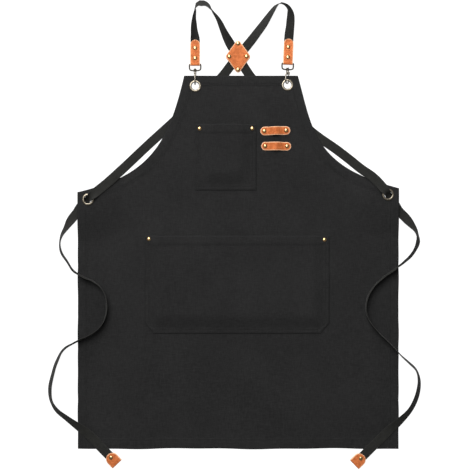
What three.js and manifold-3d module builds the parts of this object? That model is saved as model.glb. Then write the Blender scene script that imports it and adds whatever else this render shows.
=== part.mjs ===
// Canvas work apron laid out flat, front up: one hemmed panel, two patch pockets, two tool loops
// and two webbing straps that cross between leather diamonds and thread the waist grommets.
// Millimetres. +X right and +Y up the bib as seen from the front, +Z off the table.
// The origin is on the table under the middle of the panel.

import * as THREE from "three";
import { mergeVertices } from "three/addons/utils/BufferGeometryUtils.js";
import Module from "manifold-3d";

const wasm = await Module();
wasm.setup();
const { Manifold, Mesh } = wasm;
const { smoothstep, degToRad } = THREE.MathUtils;
const vec = (x, y, z) => new THREE.Vector3(x, y, z);

function finish(color, roughness, metalness) {
  return new THREE.MeshStandardMaterial({ color, roughness, metalness });
}
const CLOTH = finish(0x2b2b2b, 0.95, 0);
const TAPE = finish(0x323230, 0.9, 0);
const TAN = finish(0xdf804e, 0.6, 0);
const BRASS = finish(0xc9b48a, 0.35, 1);
const NICKEL = finish(0xb0aca4, 0.3, 1);

// Material sizes.
const GAP = 0.3;
const SEAT = 0.45;
const CANVAS = 1.2;
const HEM = 2.0;
const HEM_WIDTH = 20;
const HEM_STEP = 1.5;
const LEATHER = 1.5;
const WEBBING = { width: 20, thick: 1.5 };

// Panel: 690 wide, 800 long. Each armhole is one cubic curve from the waist corner to the bib.
const PANEL = { bottom: -400, top: 400 };
const LEFT = { edge: -345, waist: 150, curve: armhole([-345, 150], [-191, 186], [-150, 254], [-116, 400]) };
const RIGHT = { edge: 345, waist: 158.6, curve: armhole([345, 158.6], [162, 206], [160, 284], [128, 400]) };

// The bib is propped up on the straps and hooks: it climbs in two eased steps.
const BIB_RISE = [
  { from: 100, to: 240, height: 2.3 },
  { from: 235, to: 362, height: 5.5 },
];

const GROMMET = { hole: 8, rim: 13, flange: 1.0 };
const GROMMETS = {
  bib_grommet_left: { x: -92, y: 377.8 },
  bib_grommet_right: { x: 105.8, y: 380.1 },
  waist_grommet_left: { x: -322, y: 134.6 },
  waist_grommet_right: { x: 321.4, y: 145 },
};

// Places where the panel is held off the table: the threaded waist grommets and the backs of
// the hand pocket's rivets. It is level out to `flat` and back down at `reach`.
const LIFTS = [
  { x: -322, y: 134.6, height: 9.5, flat: 18, reach: 100 },
  { x: 321.4, y: 145, height: 9.5, flat: 18, reach: 100 },
  { x: -192, y: 49.5, height: 1.5, flat: 8, reach: 40 },
  { x: 185.5, y: 48, height: 1.5, flat: 8, reach: 40 },
];

const RIVET = { cap: 4.3, dome: 1.6, shank: 1.3, back: 3.4, backThick: 0.8, hole: 1.7 };

const CHEST_POCKET = {
  left: -92.4, right: 39, bottom: 154.5, top: 296.2, cut: { x: 0, y: 0 }, bow: 7.5,
  rivets: [{ x: -82.9, y: 286.5 }, { x: 30, y: 286.8 }],
};
const HAND_POCKET = {
  left: -201.4, right: 196.2, bottom: -153.6, top: 56.6, cut: { x: 19, y: 23 }, bow: 7,
  rivets: [{ x: -192, y: 49.5 }, { x: 185.5, y: 48 }],
};

const LOOP = { length: 64, width: 18, bow: 7.5, rivetAt: 23.4 };
const LOOPS = {
  tool_loop_upper: { x: 79.6, y: 282, tilt: 1.5 },
  tool_loop_lower: { x: 81.6, y: 249, tilt: -0.5 },
};

// Rounded diamond over the strap crossing: half diagonals before its corners are rounded.
const CROSS = { x: -0.4, y: 441.6, halfWide: 27.5, halfTall: 38, corner: 6, rivetX: 18.5, rivetY: 28 };
const CROSS_BACK_Z = 1.3;
const CROSS_DOME = { centre: 7.1, drop: 2, from: 17, to: 36 };

// Swivel clasps: `lean` turns the clasp in plan, `swivel` is how far the hook is turned at rest.
const CLASP_HEIGHT = 8.2;
const CLASPS = {
  left: { x: -92.6, y: 411, lean: 0, swivel: 0 },
  right: { x: 105.9, y: 413.2, lean: -2.5, swivel: -32 },
};
const EYE = { bar: 13.4, wire: 1.1, tabClearance: 0.5 };
const BOSS = { radius: 3.2, bore: 1.6, half: 2.6 };
const HOOK = { wire: 1.5, post: 1.2, head: 2.5, collar: 2.9 };
const CHEEK = { thick: 1, long: 6.2, tall: 6, across: 2.05, down: 7.3, height: -4 };
const LIP = { wide: 2, long: 2.6, thick: 0.8, down: 18.8, height: -7.6 };
const GATE = { down: 8.4, drop: -5.2, barrel: 1.9, bore: 1.05, pin: 0.7, half: 1.2, end: 18.8, arm: 1.05 };

// Half of the eye's wire, from the middle of its bar round to the boss on the swivel.
const EYE_WIRE = [
  { x: 0, y: EYE.bar },
  { x: 6, y: EYE.bar },
  { x: 10.5, y: EYE.bar },
  { x: 11.9, y: EYE.bar - 0.7 },
  { x: 12.2, y: EYE.bar - 2.4 },
  { x: 12.1, y: 5.2 },
  { x: 10.9, y: 1.9 },
  { x: 7.8, y: 0.4 },
  { x: 4, y: 0.1 },
];

// Centre line of the hook's wire: distance down from the swivel and height over its axis.
const HOOK_WIRE = [
  { down: 5, height: 0 },
  { down: 6.6, height: 2.6 },
  { down: 9.4, height: 5.2 },
  { down: 13.5, height: 6.5 },
  { down: 22.5, height: 6.5 },
  { down: 27, height: 5.2 },
  { down: 29.2, height: 2.6 },
  { down: 29.6, height: 0 },
  { down: 29.2, height: -2.6 },
  { down: 27, height: -5.2 },
  { down: 23.5, height: -6.4 },
  { down: 19.2, height: -6.5 },
];

const TAB = { width: 21, length: 53.5, slope: -5.4, rivets: [13, 35.5] };
const TIP = { width: 27, length: 26, endDepth: 13, rivets: [17], height: 3.85 };
const TIPS = {
  left: { x: -261.8, y: -432.6, turn: 43.5 },
  right: { x: 251.3, y: -433.8, turn: -45.6 },
};

// Threading a waist grommet: distance along the strap's way through the hole, height of the
// strap's underside off the table and how far its edges are curled up.
const THREAD = [
  { along: -21, height: 12.2, curl: 25 },
  { along: -14, height: 13.3, curl: 80 },
  { along: -9.5, height: 13.6, curl: 140 },
  { along: -6.8, height: 12.1, curl: 180 },
  { along: -4.2, height: 8.9, curl: 202 },
  { along: -1.2, height: 4.5, curl: 205, cut: true },
  { along: 1.5, height: 1.9, curl: 200 },
  { along: 5, height: 0.6, curl: 165 },
  { along: 9, height: 0.3, curl: 130 },
  { along: 15, height: 0.2, curl: 80 },
  { along: 24, height: 0.2, curl: 25 },
];

const TABLE = 0;
const ON_PANEL = 1;
const row = (x, y, roll, lift, on = TABLE, curl = 0) => ({ x, y, roll, lift, on, curl });

// A station where the strap's solid is parted, out of sight in the cross patch or a grommet.
const cutHere = (station) => ({ ...station, cut: true });

// Strap routes, hook end first. Columns: x, y, roll in degrees, lift over what it lies on, support.
const LEFT_STRAP = [
  row(-92.6, 429, 0, 7.02),
  row(-92.6, 452.3, 0, 4.8),
  row(-92.6, 478, 0, 2.37),
  row(-94, 491, -22, 0.9),
  row(-95, 502, -41, 0.4),
  row(-95.2, 524, -62, 0.2),
  row(-94, 537.5, -76, 0.2),
  row(-92.2, 545, -80, 0.2),
  row(-88.5, 551.3, -70, 0.2),
  row(-82, 555.2, -57, 0.2),
  row(-75, 555.7, -54, 0.2),
  row(-66, 552.3, -62, 0.2),
  row(-59, 546.5, -72, 0.2),
  row(-54, 540.8, -77, 0.2),
  row(-44, 528, -72, 0.2),
  row(-36, 511, -58, 0.3),
  row(-29, 494, -32, 1.2),
  row(-21.5, 478, -2, 2.9),
  row(-13, 462, 0, 3.2),
  cutHere(row(-0.4, 441.6, 0, 3.2)),
  row(11, 422, 0, 3.2),
  row(16.5, 413.5, 0, 3.0),
  row(27, 398.5, 0, 1.9),
  row(51, 373, 0, 0.4),
  row(101, 330, 0, 0.2),
  row(172, 269.5, 0, 0.2),
  row(213, 241, 0, 0.3),
  row(240, 220, 0, 2.2),
  row(264, 200, 0, 0.5, ON_PANEL),
  row(289, 182, 0, 0.6, ON_PANEL),
  ...throughGrommet(GROMMETS.waist_grommet_right, vec(0.61, -0.79, 0)),
  row(345, 111, 0, 0.2),
  row(360.6, 94.6, 6, 0.2),
  row(372.5, 79.7, 40, 0.2),
  row(381, 67.9, 63, 0.2),
  row(385, 56.5, 71, 0.2),
  row(385.9, 44.4, 64, 0.2),
  row(378.8, 25.7, 68, 0.2),
  row(368.3, 11.4, 70, 0.4),
  row(350, -2.5, 72, 2.5),
  row(332.4, -16.2, 74, 2.5),
  row(312, -32, 75, 1.7),
  row(290, -53, 75, 1.7),
  row(277, -77, 75, 1.7),
  row(273.5, -100, 75, 1.7),
  row(280, -123, 75, 1.7),
  row(297, -146, 76, 1.7),
  row(319, -168, 77, 2.3),
  row(334, -183, 78, 2.5),
  row(350, -201.1, 80, 2.5),
  row(366.8, -216.2, 81, 0.4),
  row(381.7, -231.2, 78, 0.2),
  row(387.9, -252.4, 70, 0.2),
  row(387.1, -271.5, 64, 0.2),
  row(381.5, -293.4, 57, 0.2),
  row(369.9, -316.1, 50, 0.8),
  row(349, -339, 34, 2.4),
  row(326, -360, 10, 2.4),
  row(306, -380, 0, 2.4),
  row(287, -398.5, 0, 2.6),
  row(270, -415.5, 0, 3.1),
  row(254, -431.2, 0, 3.1),
];

const RIGHT_STRAP = [
  row(106.7, 431.2, 0, 7.02),
  row(107.7, 454.6, 0, 4.8),
  row(108.8, 480.3, 0, 2.37),
  row(110, 494, 8, 1.0),
  row(111, 503, 18, 0.5),
  row(112.4, 520, 32, 0.2),
  row(112.2, 535.5, 53, 0.2),
  row(109, 544.8, 68, 0.2),
  row(101.5, 552.3, 79, 0.2),
  row(93, 555.1, 80, 0.2),
  row(85.5, 552.2, 74, 0.2),
  row(77, 543.4, 58, 0.2),
  row(66, 528, 36, 0.4),
  row(54, 511.5, 16, 1.0),
  row(41, 493.5, 2, 2.0),
  row(27, 475, 0, 2.8),
  row(16, 461.5, 0, 3.6),
  row(9.4, 453.4, 0, 5.1),
  cutHere(row(-0.4, 441.5, 0, 5.1)),
  row(-10.2, 429.6, 0, 5.1),
  row(-16.8, 421.5, 0, 3.6),
  row(-31, 403, 0, 1.9),
  row(-60, 373, 0, 0.4),
  row(-100, 337, 0, 0.2),
  row(-151, 291, 0, 0.2),
  row(-203, 243.5, 0, 0.2),
  row(-236, 212, 0, 1.8),
  row(-258, 191, 0, 0.5, ON_PANEL),
  row(-283, 168, 0, 0.6, ON_PANEL),
  ...throughGrommet(GROMMETS.waist_grommet_left, vec(-0.74, -0.673, 0)),
  row(-346, 108, 0, 0.2),
  row(-358.1, 92.3, -12, 0.2),
  row(-369, 73.8, -48, 0.2),
  row(-378.3, 58.3, -68, 0.2),
  row(-382.6, 42, -76, 0.2),
  row(-379.8, 21.4, -74, 0.2),
  row(-366.5, 1.8, -77, 0.3),
  row(-351, -18.9, -72, 2.5),
  row(-330, -32, -71, 2.5),
  row(-313, -40, -72, 1.7),
  row(-297, -52, -74, 1.7),
  row(-285.5, -71, -75, 1.7),
  row(-282, -93, -75, 1.7),
  row(-285.5, -119, -75, 1.7),
  row(-297, -141, -75, 1.7),
  row(-314, -155, -76, 2.2),
  row(-331, -164, -77, 2.5),
  row(-351, -174, -78, 2.5),
  row(-372.3, -187.2, -78, 0.3),
  row(-389, -213, -73, 0.2),
  row(-398.3, -242.5, -70, 0.2),
  row(-404.1, -274, -66, 0.2),
  row(-400.9, -298.6, -67, 0.2),
  row(-389.5, -317.7, -58, 0.2),
  row(-369, -334.4, -50, 0.7),
  row(-348.1, -349.8, -32, 2.4),
  row(-327, -366, -10, 2.4),
  row(-310, -382, 0, 2.4),
  row(-295, -398.5, 0, 2.6),
  row(-280, -413.5, 0, 3.1),
  row(-264.8, -429.6, 0, 3.1),
];

const apron = new THREE.Group();
apron.name = "canvas_apron";

function armhole(...points) {
  return new THREE.CubicBezierCurve(...points.map(([x, y]) => new THREE.Vector2(x, y)));
}

/** X of a panel side at height y: the straight edge, or the armhole above the waist corner. */
function sideAt(side, y) {
  if (y <= side.waist) return side.edge;
  let low = 0;
  let high = 1;
  for (let step = 0; step < 40; step += 1) {
    const middle = (low + high) / 2;
    if (side.curve.getPoint(middle).y < y) low = middle;
    else high = middle;
  }
  return side.curve.getPoint(low).x;
}

/** Height of the panel's underside. */
function panelUnder(x, y) {
  let z = 0;
  for (const { from, to, height } of BIB_RISE) z += height * smoothstep(y, from, to);
  for (const lift of LIFTS) {
    const fall = 1 - smoothstep(Math.hypot(x - lift.x, y - lift.y), lift.flat, lift.reach);
    z += Math.max(0, lift.height - z) * fall;
  }
  return z;
}

/** Cloth thickness: folded over along every edge and doubled round the grommets. */
function panelThick(x, y) {
  const inHem = HEM_WIDTH + 0.01;
  const fromSide = Math.min(x - sideAt(LEFT, y), sideAt(RIGHT, y) - x);
  const fromEnd = Math.min(y - PANEL.bottom, PANEL.top - y);
  const doubled = Object.values(GROMMETS).some((g) => Math.hypot(x - g.x, y - g.y) < GROMMET.rim + 9);
  return fromSide < inHem || fromEnd < inHem || doubled ? HEM : CANVAS;
}

const panelOver = (x, y) => panelUnder(x, y) + panelThick(x, y);

/** Closed solid between two faces of a grid of {low, high} points: rows run up, columns right. */
function sheet(grid) {
  const columns = grid[0].length;
  const at = (r, c, side) => (r * columns + c) * 2 + side;
  const points = grid.flat().flatMap(({ low, high }) => [low, high]);
  const faces = [];
  const quad = (a, b, c, d) => faces.push(a, b, c, a, c, d);
  const lastRow = grid.length - 1;
  const lastColumn = columns - 1;
  for (let r = 0; r < lastRow; r += 1) {
    for (let c = 0; c < lastColumn; c += 1) {
      quad(at(r, c, 1), at(r, c + 1, 1), at(r + 1, c + 1, 1), at(r + 1, c, 1));
      quad(at(r, c, 0), at(r + 1, c, 0), at(r + 1, c + 1, 0), at(r, c + 1, 0));
    }
    quad(at(r + 1, 0, 0), at(r, 0, 0), at(r, 0, 1), at(r + 1, 0, 1));
    quad(at(r, lastColumn, 0), at(r + 1, lastColumn, 0), at(r + 1, lastColumn, 1), at(r, lastColumn, 1));
  }
  for (let c = 0; c < lastColumn; c += 1) {
    quad(at(0, c, 0), at(0, c + 1, 0), at(0, c + 1, 1), at(0, c, 1));
    quad(at(lastRow, c + 1, 0), at(lastRow, c, 0), at(lastRow, c, 1), at(lastRow, c + 1, 1));
  }
  return new THREE.BufferGeometry().setFromPoints(points).setIndex(faces);
}

/** Merged copy of a geometry without zero-area triangles, facing outwards. */
function tidy(geometry) {
  const bare = new THREE.BufferGeometry().setAttribute("position", geometry.getAttribute("position"));
  if (geometry.index) bare.setIndex(geometry.index);
  const merged = mergeVertices(bare, 1e-4);
  const corners = merged.index.array;
  const kept = [];
  let volume = 0;
  const [a, b, c] = [vec(), vec(), vec()];
  for (let i = 0; i < corners.length; i += 3) {
    const [p, q, r] = [corners[i], corners[i + 1], corners[i + 2]];
    if (p === q || q === r || r === p) continue;
    kept.push(p, q, r);
    a.fromBufferAttribute(merged.attributes.position, p);
    b.fromBufferAttribute(merged.attributes.position, q);
    c.fromBufferAttribute(merged.attributes.position, r);
    volume += a.dot(b.cross(c));
  }
  return merged.setIndex(volume < 0 ? kept.reverse() : kept);
}

function toSolid(geometry) {
  const clean = tidy(geometry);
  return new Manifold(new Mesh({
    numProp: 3,
    vertProperties: Float32Array.from(clean.attributes.position.array),
    triVerts: Uint32Array.from(clean.index.array),
  }));
}

function toGeometry(solid) {
  const mesh = solid.getMesh();
  const geometry = new THREE.BufferGeometry();
  geometry.setAttribute("position", new THREE.BufferAttribute(mesh.vertProperties, 3));
  return geometry.setIndex(Array.from(mesh.triVerts));
}

const cut = (geometry, tools) =>
  toGeometry(tools.reduce((solid, tool) => solid.subtract(toSolid(tool)), toSolid(geometry)));
const join = (...geometries) =>
  toGeometry(geometries.map(toSolid).reduce((solid, other) => solid.add(other)));
const overlap = (first, second) => toGeometry(toSolid(first).intersect(toSolid(second)));

function add(name, geometry, material, parent = apron) {
  const mesh = new THREE.Mesh(tidy(geometry), material);
  mesh.name = name;
  parent.add(mesh);
}

/** Upright cutting cylinder. */
function drill(x, y, radius, sides = 10) {
  return new THREE.CylinderGeometry(radius, radius, 60, sides).rotateX(Math.PI / 2).translate(x, y, 0);
}

/** Solid turned about an upright axis from [radius, height] rows. */
function turned(profile, sides) {
  const points = profile.map(([radius, height]) => new THREE.Vector2(radius, height));
  return new THREE.LatheGeometry(points, sides).rotateX(Math.PI / 2);
}

/** Two-capped rivet clamping everything between the heights low and high. */
function rivet(low, high) {
  const back = low - GAP;
  const front = high + GAP;
  return turned([
    [0, back - RIVET.backThick],
    [RIVET.back, back - RIVET.backThick],
    [RIVET.shank, back],
    [RIVET.shank, front],
    [RIVET.cap, front],
    [RIVET.cap * 0.75, front + RIVET.dome * 0.75],
    [0, front + RIVET.dome],
  ], 7);
}

function panel() {
  const heights = [
    -400, -380, -378.5, -300, -120, 8, 30, 49, 68, 90, 108, 124, 138, 150, 158.6,
    166, 175, 186, 200, 218, 240, 266, 292, 318, 342, 362, 378.5, 380, 400,
  ];
  const inward = [0.07, 0.17, 0.36, 0.416, 0.475];
  const bands = [0, HEM_WIDTH, HEM_WIDTH + HEM_STEP];
  const grid = heights.map((y) => {
    const left = sideAt(LEFT, y);
    const right = sideAt(RIGHT, y);
    const middle = (left + right) / 2;
    const half = middle - left;
    const inner = half - HEM_WIDTH - HEM_STEP;
    const steps = [...bands, ...inward.map((share) => HEM_WIDTH + HEM_STEP + share * inner)];
    const across = [...steps.map((d) => left + d), middle, ...steps.map((d) => right - d).reverse()];
    return across.map((x) => {
      const low = panelUnder(x, y);
      return { low: vec(x, y, low), high: vec(x, y, low + panelThick(x, y)) };
    });
  });
  const rivets = [...CHEST_POCKET.rivets, ...HAND_POCKET.rivets, ...Object.values(LOOPS).flatMap(loopRivets)];
  return cut(sheet(grid), [
    ...Object.values(GROMMETS).map((g) => drill(g.x, g.y, GROMMET.hole + 1.2, 16)),
    ...rivets.map((r) => drill(r.x, r.y, RIVET.hole, 8)),
  ]);
}

/** Patch pocket, sewn down at its sides and bottom and bowed off the panel up to its mouth. */
function pocket(spec) {
  const ease = (distance) => smoothstep(distance, 4, 42);
  const span = [0, 4, 14, 27, 42];
  const tall = spec.top - spec.bottom;
  const mouth = [44, 26, 9, 0].map((d) => tall - d);
  const heights = [0, 4, 12, spec.cut.y || 24, 42, ...mouth];
  const grid = heights.map((up) => {
    const inset = spec.cut.y ? spec.cut.x * Math.max(0, 1 - up / spec.cut.y) : 0;
    const left = spec.left + inset;
    const right = spec.right - inset;
    const fromRight = span.map((d) => right - d).reverse();
    const across = [...span.map((d) => left + d), (left + right) / 2, ...fromRight];
    const y = spec.bottom + up;
    return across.map((x) => {
      const bow = spec.bow * ease(x - left) * ease(right - x) * ease(up);
      const low = panelOver(x, y) + SEAT + bow;
      return { low: vec(x, y, low), high: vec(x, y, low + CANVAS) };
    });
  });
  return cut(sheet(grid), spec.rivets.map((r) => drill(r.x, r.y, RIVET.hole, 8)));
}

function pocketRivet(spec, { x, y }) {
  const inward = x < (spec.left + spec.right) / 2 ? x - spec.left : spec.right - x;
  const bow = spec.bow * smoothstep(inward + RIVET.cap, 4, 42);
  const high = Math.max(panelOver(x, y - RIVET.cap), panelOver(x, y + RIVET.cap)) + SEAT + bow + CANVAS;
  return rivet(panelUnder(x, y - RIVET.back), high).translate(x, y, 0);
}

function loopRivets({ x, y, tilt }) {
  const reach = vec(LOOP.rivetAt, 0, 0).applyAxisAngle(vec(0, 0, 1), degToRad(tilt));
  return [{ x: x - reach.x, y: y - reach.y }, { x: x + reach.x, y: y + reach.y }];
}

/** Leather strip with round ends, bowed up between its two rivets so a tool slides under it. */
function toolLoop({ x, y, tilt }) {
  const half = LOOP.length / 2;
  const round = LOOP.width / 2;
  const stops = [0, 6, 12, 18, half - round, half - 4, half - 0.5];
  const along = [...stops.slice(1).map((d) => -d).reverse(), ...stops];
  const turn = degToRad(tilt);
  const grid = [-1, 1].map((side) => along.map((d) => {
    const past = Math.max(0, Math.abs(d) - (half - round));
    const across = side * Math.sqrt(round * round - past * past);
    const px = x + d * Math.cos(turn) - across * Math.sin(turn);
    const py = y + d * Math.sin(turn) + across * Math.cos(turn);
    const bow = Math.abs(d) < 18 ? LOOP.bow * 0.5 * (1 + Math.cos((Math.PI * d) / 18)) : 0;
    const low = panelOver(px, py) + SEAT + bow;
    return { low: vec(px, py, low), high: vec(px, py, low + LEATHER) };
  }));
  return cut(sheet(grid), loopRivets({ x, y, tilt }).map((r) => drill(r.x, r.y, RIVET.hole, 8)));
}

function grommet({ x, y }) {
  const inside = HEM / 2 + GAP + 0.1;
  const outside = inside + GROMMET.flange;
  const crest = GROMMET.hole + 2;
  const profile = [
    [GROMMET.hole, 0],
    [GROMMET.hole + 0.5, -inside - 0.6],
    [crest, -outside],
    [GROMMET.rim, -inside],
    [GROMMET.hole + 0.8, -inside],
    [GROMMET.hole + 0.8, inside],
    [GROMMET.rim, inside],
    [crest, outside],
    [GROMMET.hole + 0.5, inside + 0.6],
    [GROMMET.hole, 0],
  ];
  return turned(profile, 12).translate(x, y, panelUnder(x, y) + HEM / 2);
}

/** Half width of the rounded diamond at height y over its middle. */
function diamondHalf(y) {
  const { halfWide, halfTall, corner } = CROSS;
  const slant = Math.hypot(halfWide, halfTall);
  const up = Math.abs(y);
  if (up < (corner * halfWide) / slant) {
    return halfWide - (corner * slant) / halfTall + Math.sqrt(corner * corner - up * up);
  }
  const topCentre = halfTall - (corner * slant) / halfWide;
  if (up > topCentre + (corner * halfWide) / slant) {
    return Math.sqrt(Math.max(1, corner * corner - (up - topCentre) ** 2));
  }
  return halfWide * (1 - up / halfTall);
}

/** Height of the front diamond's underside at a distance from its middle. */
function crossDome(radius) {
  const { centre, drop, from, to } = CROSS_DOME;
  return centre - drop * smoothstep(radius, from, to);
}

const crossRivets = [
  { x: CROSS.rivetX, y: 0 },
  { x: -CROSS.rivetX, y: 0 },
  { x: 0, y: CROSS.rivetY },
  { x: 0, y: -CROSS.rivetY },
];

/** Leather diamond whose underside height depends on the distance from its middle. */
function diamond(underside, shares) {
  const up = [0, 3.5, 13, 22, 31.3, 33.4];
  const heights = [...up.slice(1).map((y) => -y).reverse(), ...up];
  const grid = heights.map((y) => shares.map((share) => {
    const x = share * diamondHalf(y);
    const low = underside(Math.hypot(x, y));
    return { low: vec(x, y, low), high: vec(x, y, low + LEATHER) };
  }));
  const holes = crossRivets.map(({ x, y }) => drill(x, y, RIVET.hole, 8));
  return cut(sheet(grid), holes).translate(CROSS.x, CROSS.y, 0);
}

/** Leather folded round a core at the local origin; both layers run along +Y over a strap. */
function foldedLeather({ width, length }, core, endDepth) {
  const half = WEBBING.thick / 2 + GAP;
  const side = new THREE.Shape();
  side.moveTo(length, -half - LEATHER);
  side.lineTo(length, -half);
  side.lineTo(6, -half);
  side.lineTo(0, -core);
  side.absarc(0, 0, core, -Math.PI / 2, Math.PI / 2, true);
  side.lineTo(6, half);
  side.lineTo(length, half);
  side.lineTo(length, half + LEATHER);
  side.lineTo(7, half + LEATHER);
  side.lineTo(0, core + LEATHER);
  side.absarc(0, 0, core + LEATHER, Math.PI / 2, -Math.PI / 2, false);
  side.lineTo(7, -half - LEATHER);
  const profile = new THREE.ExtrudeGeometry(side, { depth: width, bevelEnabled: false, curveSegments: 5 });
  const turn = new THREE.Matrix4().makeBasis(vec(0, 1, 0), vec(0, 0, 1), vec(1, 0, 0));
  profile.translate(0, 0, -width / 2).applyMatrix4(turn);
  const plan = new THREE.Shape();
  plan.moveTo(-width / 2 - 1, -20);
  plan.lineTo(width / 2 + 1, -20);
  plan.lineTo(width / 2, 0);
  plan.lineTo(width / 2, length - endDepth);
  plan.absellipse(0, length - endDepth, width / 2, endDepth, 0, Math.PI, false);
  plan.lineTo(-width / 2, 0);
  const outline = new THREE.ExtrudeGeometry(plan, { depth: 40, bevelEnabled: false, curveSegments: 7 });
  return overlap(profile, outline.translate(0, 0, -20));
}

/** Rows of a strap that dives through a waist grommet along the given heading. */
function throughGrommet({ x, y }, heading) {
  return THREAD.map(({ along, height, curl, cut: parted }) => ({
    ...row(x + along * heading.x, y + along * heading.y, 0, height, TABLE, curl),
    cut: parted,
  }));
}

/** Slope at a station from its two spans; with `hold` set a turning value never overshoots. */
function slopeAt(before, after, spanBefore, spanAfter, hold) {
  const first = before / spanBefore;
  const second = after / spanAfter;
  if (hold) return first * second <= 0 ? 0 : (2 * first * second) / (first + second);
  return (first * spanAfter + second * spanBefore) / (spanBefore + spanAfter);
}

/** Evenly spaced {x, y, base, roll, curl} samples of a route, eased through its stations. */
function sampleRoute(rows, step) {
  const stations = rows.map((station) => ({ ...station, base: station.lift + supportUnder(station) }));
  const spans = stations.slice(1).map((next, i) =>
    Math.hypot(next.x - stations[i].x, next.y - stations[i].y, next.base - stations[i].base));
  const names = ["x", "y", "base", "roll", "curl"];
  const slopes = stations.map((station, i) => Object.fromEntries(names.map((name) => {
    const before = i > 0 ? station[name] - stations[i - 1][name] : 0;
    const after = i < spans.length ? stations[i + 1][name] - station[name] : 0;
    if (i === 0) return [name, after / spans[0]];
    if (i === spans.length) return [name, before / spans[i - 1]];
    return [name, slopeAt(before, after, spans[i - 1], spans[i], name !== "x" && name !== "y")];
  })));
  const samples = [];
  spans.forEach((span, i) => {
    const count = Math.max(1, Math.round(span / step));
    for (let k = i === 0 ? 0 : 1; k <= count; k += 1) {
      const t = k / count;
      const sample = {};
      for (const name of names) {
        const start = stations[i][name];
        const end = stations[i + 1][name];
        sample[name] = start * (1 + 2 * t) * (1 - t) ** 2 + end * t * t * (3 - 2 * t)
          + span * (slopes[i][name] * t * (1 - t) ** 2 - slopes[i + 1][name] * t * t * (1 - t));
      }
      sample.cut = k === count && stations[i + 1].cut;
      samples.push(sample);
    }
  });
  return samples;
}

/** Highest point of the panel under a strap station, or the table. */
function supportUnder({ x, y, on }) {
  if (on !== ON_PANEL) return 0;
  const reach = [-10, 0, 10];
  return Math.max(...reach.flatMap((dx) => reach.map((dy) => panelOver(x + dx, y + dy))));
}

/** Webbing swept along a route, in parts: it can lie flat, stand on edge or curl up to pass a hole. */
function strap(rows) {
  const samples = sampleRoute(rows, 24);
  const centres = samples.map(({ x, y, base, roll }) => {
    const angle = degToRad(roll);
    const rise = (WEBBING.width / 2) * Math.abs(Math.sin(angle)) + (WEBBING.thick / 2) * Math.cos(angle);
    return vec(x, y, base + rise);
  });
  const last = centres.length - 1;
  const headings = centres.map((_, i) =>
    centres[Math.min(i + 1, last)].clone().sub(centres[Math.max(i - 1, 0)]).normalize());
  const grid = samples.map(({ roll, curl }, i) => {
    const ahead = headings[i];
    const side = ahead.clone().cross(vec(0, 0, 1)).normalize();
    const up = side.clone().cross(ahead);
    side.applyAxisAngle(ahead, -degToRad(roll));
    up.applyAxisAngle(ahead, -degToRad(roll));
    const bend = Math.max(degToRad(curl), 0.01);
    const radius = WEBBING.width / bend;
    return [-1, -0.36, 0.36, 1].map((share) => {
      const angle = (share * bend) / 2;
      const point = centres[i].clone()
        .addScaledVector(side, radius * Math.sin(angle))
        .addScaledVector(up, radius * (1 - Math.cos(angle)));
      const face = up.clone().multiplyScalar(Math.cos(angle)).addScaledVector(side, -Math.sin(angle));
      const half = face.multiplyScalar(WEBBING.thick / 2);
      return { low: point.clone().sub(half), high: point.clone().add(half) };
    });
  });
  const ends = [0, ...samples.flatMap(({ cut: parted }, i) => (parted ? [i] : [])), last];
  const moved = (i, distance) => grid[i].map(({ low, high }) => ({
    low: low.clone().addScaledVector(headings[i], distance),
    high: high.clone().addScaledVector(headings[i], distance),
  }));
  return ends.slice(1).map((end, k) => {
    const start = ends[k];
    const first = moved(start, start > 0 ? GAP / 2 : 0);
    const final = moved(end, end < last ? -GAP / 2 : 0);
    return sheet([first, ...grid.slice(start + 1, end), final]);
  });
}

/** Cylinder along the clasp's axis between two distances down from the swivel. */
function axial(radius, from, to, sides = 8) {
  return new THREE.CylinderGeometry(radius, radius, to - from, sides).translate(0, -(from + to) / 2, 0);
}

/** Cylinder across the clasp. */
function crossways(radius, half, down, z, sides = 8) {
  return new THREE.CylinderGeometry(radius, radius, 2 * half, sides)
    .rotateZ(Math.PI / 2).translate(0, -down, z);
}

function eye() {
  const right = EYE_WIRE.map(({ x, y }) => vec(x, y, 0));
  const left = EYE_WIRE.slice(1).reverse().map(({ x, y }) => vec(-x, y, 0));
  const path = new THREE.CatmullRomCurve3([...right, vec(0, 0, 0), ...left], true, "centripetal");
  const wire = new THREE.TubeGeometry(path, 24, EYE.wire, 6, true);
  return cut(join(wire, axial(BOSS.radius, -BOSS.half, BOSS.half, 10)), [axial(BOSS.bore, -9, 9, 8)]);
}

function hook() {
  const way = HOOK_WIRE.map(({ down, height }) => vec(0, -down, height));
  const path = new THREE.CatmullRomCurve3(way, false, "centripetal");
  const round = Array.from({ length: 6 }, (_, i) => (i * Math.PI) / 3)
    .map((angle) => new THREE.Vector2(HOOK.wire * Math.cos(angle), HOOK.wire * Math.sin(angle)));
  const sweep = { steps: 16, extrudePath: path, bevelEnabled: false };
  const bow = new THREE.ExtrudeGeometry(new THREE.Shape(round), sweep);
  const cheek = (x) => new THREE.BoxGeometry(CHEEK.thick, CHEEK.long, CHEEK.tall)
    .translate(x, -CHEEK.down, CHEEK.height);
  const lip = new THREE.BoxGeometry(LIP.wide, LIP.long, LIP.thick).translate(0, -LIP.down, LIP.height);
  return join(
    axial(HOOK.head, -4.4, -3),
    axial(HOOK.post, -4, 5),
    axial(HOOK.collar, 3, 6),
    bow,
    cheek(CHEEK.across),
    cheek(-CHEEK.across),
    crossways(GATE.pin, 2.3, GATE.down, GATE.drop),
    lip,
  );
}

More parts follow.
